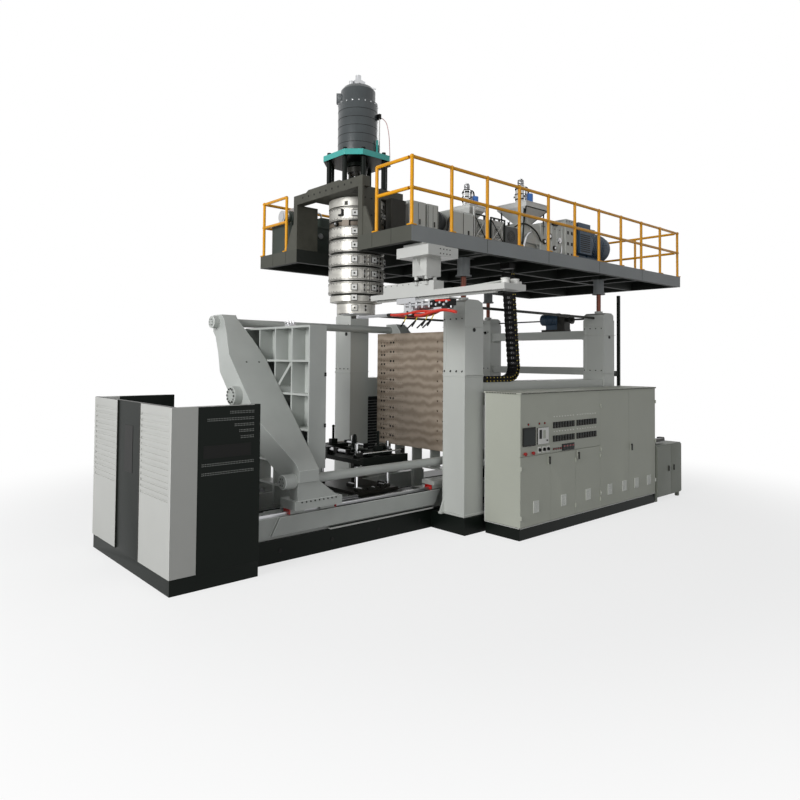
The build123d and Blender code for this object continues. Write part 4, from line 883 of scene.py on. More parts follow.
class MACHINE_OT_cabinet(bpy.types.Operator):
    """Control cabinet shell, doors and switchgear"""
    bl_idname = "machine.cabinet"
    bl_label = "Control cabinet"

    def execute(self, context):
        dressed("control_cabinet", "frame", cabinet_paint(), 0.004)
        dressed("switchgear", "frame", light_paint(), 0.003)
        dressed("instrument_panel", "frame", cabinet_paint(), 0.002,
                ((lambda c, n: c.y < CABINET_FACE - 0.0009, black_plastic()),))
        for number in ("one", "two", "three", "four", "five"):
            dressed(f"door_{number}", f"door_{number}", cabinet_paint(), 0.002,
                    ((lambda c, n: 0.34 < c.z < 0.53 and c.y < CABINET_FACE - 0.0002, self.vent_paint()),))
        for number in ("one", "three", "five"):
            dressed(f"handle_{number}", f"handle_{number}", dark_steel(), 0.003)
        low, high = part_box("control_cabinet")
        drip, slot = high.z - 0.0125, (0.014, 0.01, 0.003)
        rows("cabinet_drip_slots", "frame", [at(low.x + 0.05, low.y - 0.0005, drip, FACING_NEAR)], 130, 0.03,
             slot, dark_steel(), sides=4)
        rows("cabinet_side_slots", "frame", [at(low.x - 0.0005, high.y - 0.05, drip, FACING_LEFT)], 19, 0.03,
             slot, dark_steel(), sides=4)
        pale = light_paint()
        edges = Shape()
        x0, x1, y0, y1 = CABINET_LEFT, 5.05, CABINET_FACE, -1.67
        edges.box((x0 - 0.006, y0 - 0.006, 0.167), (x1, -2.304, 0.178), pale)
        edges.box((x0 - 0.006, y0 - 0.006, 0.167), (x0 + 0.001, y1, 0.178), pale)
        edges.box((x0 - 0.006, y1 - 0.012, 0.178), (x0 + 0.001, y1, high.z - 0.026), pale)
        edges.object("cabinet_edges", "frame", 0.001)
        return {"FINISHED"}

    @staticmethod
    def vent_paint():
        return finish_of("vent frame", srgb(224, 226, 220), 0.45, dust=0.0)


class MACHINE_OT_instruments(bpy.types.Operator):
    """Screen, controllers, lamps, selectors and push buttons"""
    bl_idname = "machine.instruments"
    bl_label = "Instruments"

    def execute(self, context):
        face = CABINET_FACE
        lit_red = lamp_finish("red lens", srgb(150, 26, 22), 0.06)
        display = lamp_finish("red digits", srgb(120, 20, 18), 0.1)
        label = finish_of("white label plate", srgb(240, 240, 234), 0.4, dust=0.0, patchiness=0.02)
        panel = Shape()
        panel.box((1.172, face - 0.016, 1.312), (1.468, face - 0.01, 1.578), black_plastic())
        panel.box((1.19, face - 0.018, 1.33), (1.45, face - 0.0165, 1.55), screen_glass())
        panel.box((1.522, face - 0.019, 1.322), (1.778, face - 0.0135, 1.558), white_plastic())
        panel.box((1.55, face - 0.021, 1.4), (1.61, face - 0.0185, 1.53), black_plastic())
        panel.box((1.64, face - 0.021, 1.4), (1.7, face - 0.0185, 1.52), cabinet_paint())
        panel.bar((1.735, face - 0.03, 1.37), (1.735, face - 0.015, 1.37), 0.012, black_plastic())
        for x0 in (1.91, 2.53):
            for column in range(8):
                for z in (1.53, 1.33):
                    x = x0 + column * 0.072
                    panel.box((x + 0.005, face - 0.0165, z + 0.05), (x + 0.043, face - 0.0135, z + 0.08),
                              screen_glass())
                    panel.box((x + 0.007, face - 0.0165, z + 0.012), (x + 0.041, face - 0.0135, z + 0.034),
                              dark_steel())
                for z in (1.7, 1.48):
                    x = x0 + 0.024 + column * 0.072
                    panel.bar((x, face - 0.008, z), (x, face + 0.001, z), 0.009, white_plastic(), 12)
        for x in (1.93, 1.99, 2.05, 2.11):
            panel.box((x - 0.022, face - 0.007, 1.208), (x + 0.022, face + 0.001, 1.238), black_plastic())
            panel.box((x - 0.017, face - 0.009, 1.213), (x + 0.017, face - 0.0065, 1.233), display)
        for column in range(4):
            x = 2.155 + 0.078 * column
            panel.box((x, face - 0.015, 1.192), (x + 0.062, face - 0.0115, 1.268), screen_glass())
            panel.box((x + 0.008, face - 0.017, 1.235), (x + 0.054, face - 0.0145, 1.258), display)
        for x in (1.31, 1.57, 1.7):
            panel.bar((x, face - 0.012, 1.62), (x, face + 0.001, 1.62), 0.012, lit_red, 20)
            panel.bar((x, face - 0.006, 1.62), (x, face + 0.001, 1.62), 0.018, dark_steel(), 20)
        for x in (1.575, 1.685, 1.785):
            panel.box((x - 0.04, face - 0.003, 1.195), (x + 0.04, face + 0.0005, 1.285), label)
        panel.box((1.26, face - 0.012, 1.196), (1.275, face + 0.001, 1.224), red_plastic())
        panel.object("instrument_faces", "frame", 0.001)
        for number in ("one", "two", "three"):
            dressed(f"selector_{number}", f"selector_{number}", black_plastic(), 0.003)
        button_red = finish_of("push button red", srgb(158, 24, 20), 0.4, dust=0.0, patchiness=0.03,
                               shine=0.3)
        for number in ("one", "two"):
            dressed(f"push_button_{number}", f"push_button_{number}", button_red, 0.004)
        return {"FINISHED"}


class MACHINE_OT_side_cabinet(bpy.types.Operator):
    """Low side cabinet"""
    bl_idname = "machine.side_cabinet"
    bl_label = "Side cabinet"

    def execute(self, context):
        # The side cabinet gets a darker paint than the control cabinet: painted shade for the shadow it
        # stands in.
        shaded = finish_of("side cabinet paint darkened as painted shade", srgb(126, 130, 120), 0.52, patchiness=0.05, grain_size=900,
                           bump=0.12)
        dressed("side_cabinet", "frame", shaded, 0.004)
        low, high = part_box("side_cabinet")
        trims = Shape()
        for x in (5.5, 5.7):
            trims.box((x, low.y - 0.018, 0.52), (x + 0.022, low.y + 0.002, 0.62), dark_steel())
        for x, y, dx, dy, dz in ((5.12, -2.3, 0.34, 0.1, 0.05), (5.2, -2.12, 0.12, 0.16, 0.035),
                                 (5.55, -2.2, 0.1, 0.1, 0.05), (5.4, -2.0, 0.2, 0.05, 0.03)):
            trims.box((x, y, high.z - 0.001), (x + dx, y + dy, high.z + dz), dark_steel())
        trims.object("side_cabinet_pulls", "frame", 0.003)
        return {"FINISHED"}


class MACHINE_OT_platform(bpy.types.Operator):
    """Platform deck, its beams and the guard rails"""
    bl_idname = "machine.platform"
    bl_label = "Platform"

    def execute(self, context):
        tread = finish_of("tread plate", srgb(84, 86, 86), 0.5, metallic=0.3, patchiness=0.2, patch_size=1.2,
                          dust=0.5, grain_size=40, bump=0.25)
        # Dark paint on the beams and faces under the deck, and on faces that look down, is painted shade
        # beneath the platform.
        painted_shade_under_deck = finish_of("painted shade under the deck", srgb(46, 49, 46), 0.6, patchiness=0.1, dust=0.0, shine=0.1)
        # Darker paint on the deck's faces that look to -X near its left end is painted shade.
        ends = finish_of("deck end painted shade", srgb(80, 81, 74), 0.55, patchiness=0.12, dust=0.05, shine=0.2)
        low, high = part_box("platform_frame")

        surface = DECK_TOP - 0.001

        # Faces below the deck top that are not its outer faces, or that look down: painted shade.
        def is_in_shade_under_deck(centre, normal):
            edge = min(centre.x - low.x, high.x - centre.x, centre.y - low.y, high.y - centre.y)
            return centre.z < surface and (edge > 0.003 or normal.z < -0.9)

        dressed("platform_frame", "platform", deck_paint(), 0.006, (
            (lambda c, n: c.z > surface and n.z > 0.9, tread),
            (is_in_shade_under_deck, painted_shade_under_deck),
            (lambda c, n: c.z < 4.065 and n.z > -0.9, deck_paint()),
            # faces looking to -X near the left end get painted shade
            (lambda c, n: c.z < surface and n.x < -0.9 and c.x < low.x + 0.8, ends),
        ))
        dressed("guard_rails", "platform", yellow_paint(), 0.002, swell=0.004)
        seams = Shape()
        for x in (0.9, 2.4, 3.9, 5.4):
            for side in (-1, 1):
                face = low.y if side < 0 else high.y
                seams.box((x - 0.003, face - 0.0015, 4.08), (x + 0.003, face + 0.0015, 4.27), dark_steel())
        for y in (-1.5, -1.1, 1.1, 1.5):
            seams.box((low.x - 0.0015, y - 0.003, 4.08), (low.x + 0.0015, y + 0.003, 4.27), dark_steel())
        seams.object("platform_seams", "platform")
        # Balls where the posts meet the rails
        joints = Shape()
        rail_low, rail_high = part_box("guard_rails")
        x0, x1 = rail_low.x + 0.045, rail_high.x - 0.045
        for y in (rail_low.y + 0.045, rail_high.y - 0.045):
            for count in range(11):
                x = x0 + (x1 - x0) * count / 10
                for z in (4.775, 5.18):
                    joints.ball((x, y, z), 0.033, yellow_paint(), 14)
        joints.object("rail_joints", "platform")
        return {"FINISHED"}


class MACHINE_OT_head(bpy.types.Operator):
    """Accumulator head from the die up to the ram cylinder"""
    bl_idname = "machine.head"
    bl_label = "Head"

    def execute(self, context):
        dressed("head_barrel", "platform", dark_steel(), 0.004,
                ((lambda c, n: c.z > 4.821 or c.z < 3.526, band_steel()),))
        dressed("die_ring", "platform", band_steel(), 0.004)
        dressed("die_core", "die_core", bare_steel(), 0.003)
        stained = finish_of("heat-stained steel", srgb(104, 94, 82), 0.45, metallic=0.3, patchiness=0.2,
                            patch_size=6)
        dressed("heater_bands", "platform", band_steel(), 0.003,
                ((lambda c, n: 4.54 < c.z < 4.612, stained),))
        bridge = finish_of("bridge paint", srgb(76, 76, 68), 0.55, patchiness=0.3, patch_size=2.5, dust=0.1,
                           grain_size=30, bump=0.2, shine=0.3)
        dressed("head_bridge", "platform", bridge, 0.005)
        dressed("head_columns", "platform", black_paint(), 0.003)
        dressed("shot_ram", "shot_ram", dark_steel(), 0.003)
        dressed("head_top_plate", "platform", black_paint(), 0.005,
                ((lambda c, n: n.z > -0.5, teal_paint()),))
        cylinder = finish_of("ram cylinder paint", srgb(60, 66, 68), 0.3, patchiness=0.25, patch_size=3,
                             dust=0.05, shine=0.5)

        def is_teal_strip(centre, normal):
            return (centre.z < 5.9 and centre.x > 0.17 and centre.y < -0.17
                    and math.hypot(centre.x, centre.y) > 0.332)

        dressed("ram_cylinder", "platform", cylinder, 0.004,
                ((is_teal_strip, teal_paint()), (lambda c, n: c.z > 6.82, bare_steel())))
        self.band_fittings()
        self.cylinder_fittings()
        self.bridge_fittings()
        return {"FINISHED"}

    def band_fittings(self):
        """Square terminal lugs, toggle clamps and seams of the heater bands."""
        radius = 0.432
        fittings = Shape()
        levels = [(4.634, 4.822), (4.373, 4.532), (4.156, 4.33), (3.947, 4.113), (3.724, 3.911),
                  (3.524, 3.695)]
        rims = []
        for low, high in levels:
            z = (low + high) / 2
            for turn, depth in ((-132, 0.024), (-92, 0.021), (-60, 0.021)):
                self.lug(fittings, radius + depth, turn, z)
            for edge in (low + 0.012, high - 0.012):
                fittings.turned([(radius - 0.004, edge - 0.004), (radius + 0.004, edge - 0.004),
                                 (radius + 0.004, edge + 0.004), (radius - 0.004, edge + 0.004)],
                                Matrix.Identity(4), dark_steel(), 72)
            rims.append(at(0, 0, low + 0.03))
            rims.append(at(0, 0, high - 0.03))
            for turn in (-112, -104, -82, -72, -46):
                self.toggle(fittings, radius, turn, z, (high - low) * 0.36)
        for reach, z in ((0.445, 3.455), (0.312, 3.31)):
            self.lug(fittings, reach, -132, z)
            self.toggle(fittings, reach - 0.012, -100, z, 0.05)
        for turn in (-150, -118, -60):
            fittings.box(*self.square_at(0.43, turn, 4.88, 0.012, 0.026, 0.03), dark_steel(), self.spin(turn))
        # Dark hook on the top band, and the round clamp of the split ring below it
        fittings.box(*self.square_at(0.447, -158, 4.742, 0.014, 0.014, 0.05), black_plastic(),
                     self.spin(-158))
        fittings.box(*self.square_at(0.447, -162, 4.702, 0.014, 0.034, 0.014), black_plastic(),
                     self.spin(-160))
        out = self.spin(-172) @ X_AXIS
        fittings.bar(out * 0.428 + Z_AXIS * 4.576, out * 0.47 + Z_AXIS * 4.576, 0.034, dark_steel(), 24)
        fittings.bar(out * 0.46 + Z_AXIS * 4.576, out * 0.48 + Z_AXIS * 4.576, 0.014, bare_steel(), 16)
        fittings.object("band_lugs", "platform", 0.002)
        rings("band_rim_screws", "platform", rims, 40, radius + 0.001, (0.006, 0.006, 0.008), 6, dark_steel(),
              1.0)

    @staticmethod
    def spin(turn):
        return Matrix.Rotation(math.radians(turn), 4, "Z")

    def square_at(self, reach, turn, z, deep, wide, tall):
        """Low and high corner of an unturned block whose centre is at this reach and turn."""
        centre = self.spin(turn) @ Vector((reach, 0, z))
        half = Vector((deep, wide, tall))
        return centre - half, centre + half

    def toggle(self, shape, radius, turn, z, half):
        """Clamp bolt with its two ears."""
        spin = self.spin(turn)
        for lift in (-half * 0.6, half * 0.6):
            shape.box(*self.square_at(radius + 0.01, turn, z + lift, 0.014, 0.009, 0.012), dark_steel(), spin)
        side = spin @ Y_AXIS * 0.022
        middle = spin @ Vector((radius + 0.014, 0, z))
        shape.bar(middle - side, middle + side, 0.006, bare_steel(), 10)
        shape.box(*self.square_at(radius + 0.004, turn, z, 0.006, 0.003, half), black_plastic(), spin)

    def lug(self, shape, reach, turn, z):
        """Square terminal cap on its dark base, with a round socket."""
        spin = self.spin(turn)
        for deep, wide, paint in ((0.004, 0.05, dark_steel()), (0.008, 0.042, white_plastic())):
            shape.box(*self.square_at(reach, turn, z, deep, wide, wide * 0.94), paint, spin)
        out, centre = spin @ X_AXIS, spin @ Vector((reach, 0, z))
        shape.bar(centre + out * 0.006, centre + out * 0.014, 0.014, black_plastic(), 16)

    def cylinder_fittings(self):
        black = black_plastic()
        rings("cylinder_bolts", "platform", [at(0, 0, 6.5)], 20, 0.309, (0.011, 0.011, 0.018), 6,
              bare_steel(), 1.0)
        rings("cylinder_flange_bolts", "platform", [at(0, 0, 5.735)], 16, 0.319, (0.014, 0.014, 0.02), 6,
              dark_steel())
        top = Shape()
        top.bar((-0.1, 0.05, 6.8), (-0.1, 0.05, 6.9), 0.035, bare_steel())
        top.bar((0.1, 0.06, 6.8), (0.1, 0.06, 6.94), 0.028, bare_steel())
        top.bar((0.1, 0.06, 6.93), (0.16, 0.06, 6.93), 0.018, bare_steel(), 16)
        top.bar((0.17, -0.08, 6.76), (0.17, -0.08, 6.84), 0.025, dark_steel())
        top.bar((0.17, -0.08, 6.83), (0.26, -0.12, 6.83), 0.014, chrome_steel(), 16)
        top.box((-0.09, -0.14, 6.82), (0.03, -0.07, 6.87), bare_steel())
        top.object("ram_cylinder_fittings", "platform", 0.003)
        pipes = Shape()
        pipes.bar((0.2, -0.29, 5.68), (0.2, -0.29, 6.3), 0.009, white_plastic(), 12)
        pipes.bar((0.2, -0.29, 5.68), (0.2, -0.29, 5.75), 0.018, bare_steel(), 16)
        pipes.tube([(0.2, -0.27, 6.32), (0.3, -0.32, 6.3), (0.35, -0.34, 6.1), (0.365, -0.345, 5.9),
                    (0.37, -0.35, 5.68)], 0.006, finish_of("pink hose", srgb(206, 160, 158), 0.4, dust=0.04))
        pipes.box((0.18, -0.31, 6.28), (0.22, -0.23, 6.36), black)
        pipes.box((0.13, -0.325, 5.68), (0.15, -0.3, 5.93), teal_paint())
        pipes.object("ram_cylinder_pipes", "platform")
        # Seams of the jacket segments round the cylinder
        seams = Shape()
        for z in (5.86, 5.99, 6.12, 6.25, 6.38):
            seams.turned([(0.3095, z), (0.3125, z + 0.002), (0.3125, z + 0.006), (0.3095, z + 0.008)],
                         Matrix.Identity(4), black, 64)
        seams.object("ram_cylinder_seams", "platform")

    def bridge_fittings(self):
        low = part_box("head_bridge")[0]
        rows("bridge_beam_holes", "platform", [at(low.x - 0.0005, 0.62, 5.07, FACING_LEFT)], 9, 0.155,
             (0.016, 0.016, 0.003), black_plastic(), sides=16)
        rows("bridge_leg_bolts", "platform", [at(-0.5, -0.8205, z, FACING_NEAR) for z in (4.36, 4.6, 4.84)],
             3, 0.12, (0.013, 0.013, 0.01), dark_steel())


class MACHINE_OT_extruders(bpy.types.Operator):
    """Extruders with hoods, gearboxes, motors and feeding gear"""
    bl_idname = "machine.extruders"
    bl_label = "Extruders"

    def execute(self, context):
        dark = finish_of("dark casing", srgb(60, 62, 62), 0.5, dust=0.15)
        dressed("extruder_barrels", "platform", machine_paint(), 0.005,
                ((lambda c, n: 2.15 < c.x < 2.53 and c.z > 4.29, light_paint()),
                 (lambda c, n: c.y > 0 and c.x < 1.9 and c.z > DECK_TOP + 0.001, dark_steel()),
                 (lambda c, n: (2.55 < c.x < 2.92 or c.x < 1.2) and c.z > 4.29, dark)))
        dressed("extruder_gearboxes", "platform", machine_paint(), 0.006)
        dressed("extruder_motors", "platform", motor_paint(), 0.005)
        hopper = finish_of("hopper paint", srgb(226, 227, 224), 0.4, dust=0.1)
        dressed("hoppers", "platform", hopper, 0.003,
                ((lambda c, n: self.is_drum(c), drum_paint()),
                 (lambda c, n: self.is_pump(c), black_plastic())))
        grilles = [at(x, -0.889, z, FACING_NEAR) for x, z in ((1.9025, 4.7), (2.34, 4.685), (2.735, 4.7))]
        for ring_radius, count in ((0.03, 8), (0.06, 16), (0.085, 24)):
            rings(f"fan_grille_{count}", "platform", grilles, count, ring_radius, (0.008, 0.008, 0.004), 8,
                  dark_steel())
        self.cradles()
        self.gearbox_fittings()
        self.motor_fittings()
        for name, x, y, z, radius in (
            ("station", 1.832, -EXTRUDER_Y, 5.106, 0.08),
            ("near", 3.2906, -EXTRUDER_Y, 5.3685, 0.099),
            ("far", 3.2622, EXTRUDER_Y, 5.268, 0.063),
        ):
            self.loader_fittings(name, x, y, z, radius)
        return {"FINISHED"}

    def cradles(self):
        """Black angle frames round the fans and the feed throat, with their braces and guard rings."""
        black, pale = black_paint(), light_paint()
        frames = Shape()
        y, top = -0.9, 4.95
        for x0, x1 in ((1.75, 2.06), (2.16, 2.52)):
            for x in (x0, x1):
                frames.box((x - 0.012, y - 0.012, DECK_TOP), (x + 0.012, y + 0.012, top), black)
            frames.box((x0, y - 0.012, top - 0.02), (x1, y + 0.012, top), black)
            frames.box((x0, y - 0.012, 4.5), (x1, y + 0.012, 4.52), black)
            frames.bar((x0, y, 4.52), (x1, y, top - 0.03), 0.008, pale, 8)
            frames.bar((x1, y, 4.52), (x0, y, top - 0.03), 0.008, black, 8)
            middle = Matrix.Translation(((x0 + x1) / 2, y + 0.006, 4.7)) @ FACING_NEAR
            frames.turned([(0.118, -0.006), (0.13, -0.006), (0.13, 0.006), (0.118, 0.006)], middle, pale, 32)
        for x, y0 in ((3.06, -0.86), (3.64, -0.86), (3.06, -0.44), (3.64, -0.44)):
            frames.bar((x, y0, DECK_TOP), (x, y0 + (-0.05 if y0 < -0.6 else 0.05), 5.27), 0.014, black, 8)
        frames.bar((3.06, -0.9, 5.2), (3.64, -0.87, 4.4), 0.009, pale, 8)
        left, right = (3.03, -0.97, 5.272), (3.67, -0.97, 5.272)
        for start, end in ((left, right), (left, (3.26, -0.75, 5.02)), (right, (3.44, -0.75, 5.02))):
            frames.bar(start, end, 0.012, black, 8)
        frames.object("extruder_frames", "platform", 0.002)
        pipes = Shape()
        pipes.tube([(1.15, -0.75, 4.5), (1.12, -0.86, 4.5), (1.12, -0.9, 4.62), (1.15, -0.88, 4.78),
                    (1.24, -0.86, 4.82)], 0.018, dark_steel())
        pipes.tube([(2.95, -0.85, 4.36), (3.0, -0.92, 4.45), (3.05, -0.93, 4.65), (3.15, -0.9, 4.8),
                    (3.3, -0.88, 4.86)], 0.02, bare_steel())
        pipes.tube([(2.93, -0.8, 4.9), (3.0, -0.88, 4.98), (3.2, -0.92, 4.96), (3.45, -0.92, 4.85),
                    (3.58, -0.9, 4.7)], 0.014, dark_steel())
        for x in (1.79, 1.98, 2.2, 2.46, 2.6, 2.86):
            pipes.bar((x, -0.72, 4.93), (x, -0.72, 4.99), 0.02, dark_steel(), 12)
            pipes.bar((x, -0.72, 4.985), (x, -0.72, 5.0), 0.028, bare_steel(), 12)
        pipes.object("extruder_pipes", "platform")
        hood = Shape()
        for x in (1.215, 1.455, 1.7):
            hood.box((x - 0.006, -0.9215, 4.3), (x + 0.006, -0.9185, 4.9), dark_steel())
        hood.box((1.56, -0.9235, 4.55), (1.6, -0.9185, 4.63), dark_steel())
        hood.object("hood_seams", "platform", 0.0008)

    def gearbox_fittings(self):
        rows("gearbox_windows", "platform", [at(4.39, -0.9305, 4.56, FACING_NEAR)], 2, 0.13,
             (0.038, 0.044, 0.006), black_plastic(), sides=4, count=3, rise=0.21)
        lines = [at(3.6, -0.9005, z, FACING_NEAR) for z in (4.42, 5.0)]
        rows("gearbox_cover_screws", "platform", lines, 9, 0.08, (0.011, 0.011, 0.01), dark_steel())
        rows("gearbox_box_screws", "platform", [at(4.345, -0.9305, z, FACING_NEAR) for z in (4.36, 5.2)], 4,
             0.085, (0.01, 0.01, 0.01), dark_steel())
        fittings = Shape()
        for x, z, r in ((3.66, 4.72, 0.05), (3.82, 4.84, 0.06), (3.98, 4.64, 0.045), (4.14, 4.8, 0.055)):
            fittings.bar((x, -0.9, z), (x, -0.925, z), r, dark_steel(), 20)
            fittings.bar((x, -0.92, z), (x, -0.935, z), r * 0.5, bare_steel(), 16)
        fittings.tube([(3.7, -0.9, 4.5), (3.72, -0.95, 4.46), (3.9, -0.95, 4.44), (4.1, -0.95, 4.5),
                       (4.2, -0.92, 4.62), (4.22, -0.9, 4.7)], 0.012, bare_steel())
        fittings.box((3.9, -0.95, 5.06), (4.05, -0.9, 5.12), dark_steel())
        fittings.object("gearbox_fittings", "platform", 0.0015)

    def motor_fittings(self):
        """Fins along the motor's shell, louvres of its box, lifting eyes and terminal box."""
        blue, dark = motor_paint(), dark_steel()
        fins = Shape()
        shell, height = 4.72, MOTOR_AXIS
        # k is the size of the motor against the near one
        for y, k in ((-EXTRUDER_Y, 1.0), (EXTRUDER_Y, 0.8)):
            axis = Matrix.Translation((0, y, height))
            x0, x1 = shell + 0.47 * k, shell + 0.51 * k
            low, high = Vector((x1, -0.004, 0.275 * k)), Vector((shell + 1.08 * k, 0.004, 0.298 * k))
            for index in range(36):
                spin = Matrix.Rotation(math.radians(10 * index), 4, "X")
                middle = axis @ spin @ ((low + high) / 2)
                half = (high - low) / 2
                fins.box(middle - half, middle + half, blue, spin)
            fins.turned([(0.284 * k, x0), (0.306 * k, x0), (0.306 * k, x1), (0.284 * k, x1)],
                        axis @ Matrix.Rotation(math.radians(90), 4, "Y"), blue, 48)
            fins.box((4.86, y - 0.09 * k, height + 0.375 * k), (5.02, y + 0.09 * k, height + 0.41 * k), dark)
            fins.bar((5.3, y, height + 0.28 * k), (5.3, y, height + 0.34 * k), 0.02, dark, 12)
            fins.box((5.42, y - 0.11 * k, height + 0.24 * k), (5.62, y + 0.05 * k, height + 0.36 * k), blue)
        fins.object("motor_fins", "platform", 0.001)
        rows("motor_box_louvres", "platform", [at(4.95, -0.9555, 4.68, FACING_NEAR)], 1, 0.1,
             (0.24, 0.014, 0.006), black_plastic(), sides=4, count=9, rise=0.04)
        rows("motor_box_louvres_left", "platform", [at(4.7595, -EXTRUDER_Y, 4.68, FACING_LEFT)], 1, 0.1,
             (0.3, 0.014, 0.006), black_plastic(), sides=4, count=9, rise=0.04)

    @staticmethod
    def loader_fittings(name, x, y, z, radius):
        """Bands, tie rods, pump cap, suction pipe and cable of one vacuum loader."""
        parts = Shape()
        black, steel = black_plastic(), bare_steel()

        def hoop(level, height, inner, outer, paint, sides):
            low, high = z + radius * level, z + radius * (level + height)
            parts.turned([(radius * inner, low), (radius * outer, low), (radius * outer, high),
                          (radius * inner, high)], Matrix.Translation((x, y, 0)), paint, sides)

        def pipe(thick, paint, *knots):
            points = [(x + radius * a, y + radius * b, z + radius * c) for a, b, c in knots]
            parts.tube(points, radius * thick, paint)

        for level, height in ((0.95, 0.22), (1.9, 0.18), (2.85, 0.3)):
            hoop(level, height, 0.98, 1.07, black, 32)
        for turn in range(0, 360, 60):
            out = Matrix.Rotation(math.radians(turn + 15), 4, "Z") @ Vector((radius * 1.12, 0, 0))
            rod_x, rod_y, latch = x + out.x, y + out.y, radius * 0.12
            parts.bar((rod_x, rod_y, z + radius * 0.1), (rod_x, rod_y, z + radius * 3.3), radius * 0.06,
                      steel, 8)
            if turn % 120 == 0:
                parts.box((rod_x - latch, rod_y - latch, z + radius * 1.4),
                          (rod_x + latch, rod_y + latch, z + radius * 1.7), black)
        for level in (3.8, 4.1, 4.4):
            hoop(level, 0.1, 0.54, 0.62, steel, 24)
        top = z + radius * 4.7
        for shift, paint in ((-0.3, steel), (0.32, black)):
            cap_x = x + radius * shift
            parts.bar((cap_x, y, top - 0.005), (cap_x, y, top + radius * 0.34), radius * 0.13, paint, 12)
        pipe(0.16, black, (0.5, -0.2, 3.4), (1.2, -0.3, 3.7), (1.9, -0.3, 3.3), (1.95, -0.3, 2.4))
        pipe(0.13, steel, (-0.4, -0.9, 1.3), (-0.7, -1.5, 1.2), (-0.9, -1.5, 0.5), (-0.9, -1.4, 0.05))
        parts.object(f"loader_{name}_fittings", "platform", 0.0)

    @staticmethod
    def is_drum(c):
        near = ((3.35 + 0.099 * 1.35, -0.68, 5.37), (3.3 + 0.063 * 1.35, 0.62, 5.24),
                (1.88 + 0.108, -0.68, 5.2))
        return any(math.hypot(c.x - x, c.y - y) < 0.1 and c.z > z for x, y, z in near)

    @staticmethod
    def is_pump(c):
        near = ((3.35 - 0.059, -0.65, 5.72), (3.3 - 0.038, 0.65, 5.5), (1.88 - 0.048, -0.65, 5.38))
        return any(math.hypot(c.x - x, c.y - y) < 0.12 and c.z > z for x, y, z in near)


class MACHINE_OT_deck_units(bpy.types.Operator):
    """Pump set and terminal cabinets on the platform"""
    bl_idname = "machine.deck_units"
    bl_label = "Deck units"

    def execute(self, context):
        tank_paint = finish_of("tank paint", srgb(58, 66, 60), 0.5, patchiness=0.15, patch_size=3, dust=0.1,
                               shine=0.3)

        def is_motor(centre, normal):
            return centre.y > 1.3 and centre.z > 4.79 and math.hypot(centre.y - 1.45, centre.z - 4.92) < 0.13

        dressed("deck_units", "platform", machine_paint(), 0.005,
                ((is_motor, motor_paint()), (lambda c, n: c.y > 0, tank_paint),
                 (lambda c, n: c.x < 0.17 and c.y < 0, dark_steel())))
        self.trims()
        return {"FINISHED"}

    @staticmethod
    def trims():
        """Door seams and locks of the terminal cabinets, motor blower and pipes of the pump set."""
        trims = Shape()
        for x0, x1 in ((0.24, 0.57), (0.6, 0.83)):
            for x in (x0 + 0.015, (x0 + x1) / 2, x1 - 0.015):
                trims.box((x - 0.003, -0.9725, 4.3), (x + 0.003, -0.9695, 4.88), dark_steel())
            trims.box(((x0 + x1) / 2 + 0.02, -0.982, 4.56), ((x0 + x1) / 2 + 0.036, -0.969, 4.64),
                      dark_steel())
        trims.bar((-0.47, 1.45, 4.92), (-0.37, 1.45, 4.92), 0.105, motor_paint(), 32)
        trims.bar((-0.474, 1.45, 4.92), (-0.469, 1.45, 4.92), 0.07, dark_steel(), 24)
        trims.box((-0.26, 1.36, 5.03), (-0.06, 1.54, 5.1), motor_paint())
        trims.tube([(0.2, 1.25, 4.95), (0.2, 1.25, 5.02), (0.1, 1.2, 5.04), (0.0, 1.16, 4.98),
                    (0.0, 1.15, 4.78)], 0.016, bare_steel())
        trims.tube([(0.3, 1.45, 4.92), (0.38, 1.45, 4.92), (0.39, 1.36, 4.9), (0.34, 1.28, 4.88),
                    (0.3, 1.25, 4.86)], 0.02, rubber())
        trims.box((-0.38, 1.118, 4.42), (-0.2, 1.131, 4.64), dark_steel())
        trims.bar((0.1, 1.13, 4.62), (0.1, 1.105, 4.62), 0.045, bare_steel(), 24)
        trims.object("deck_unit_trims", "platform", 0.001)


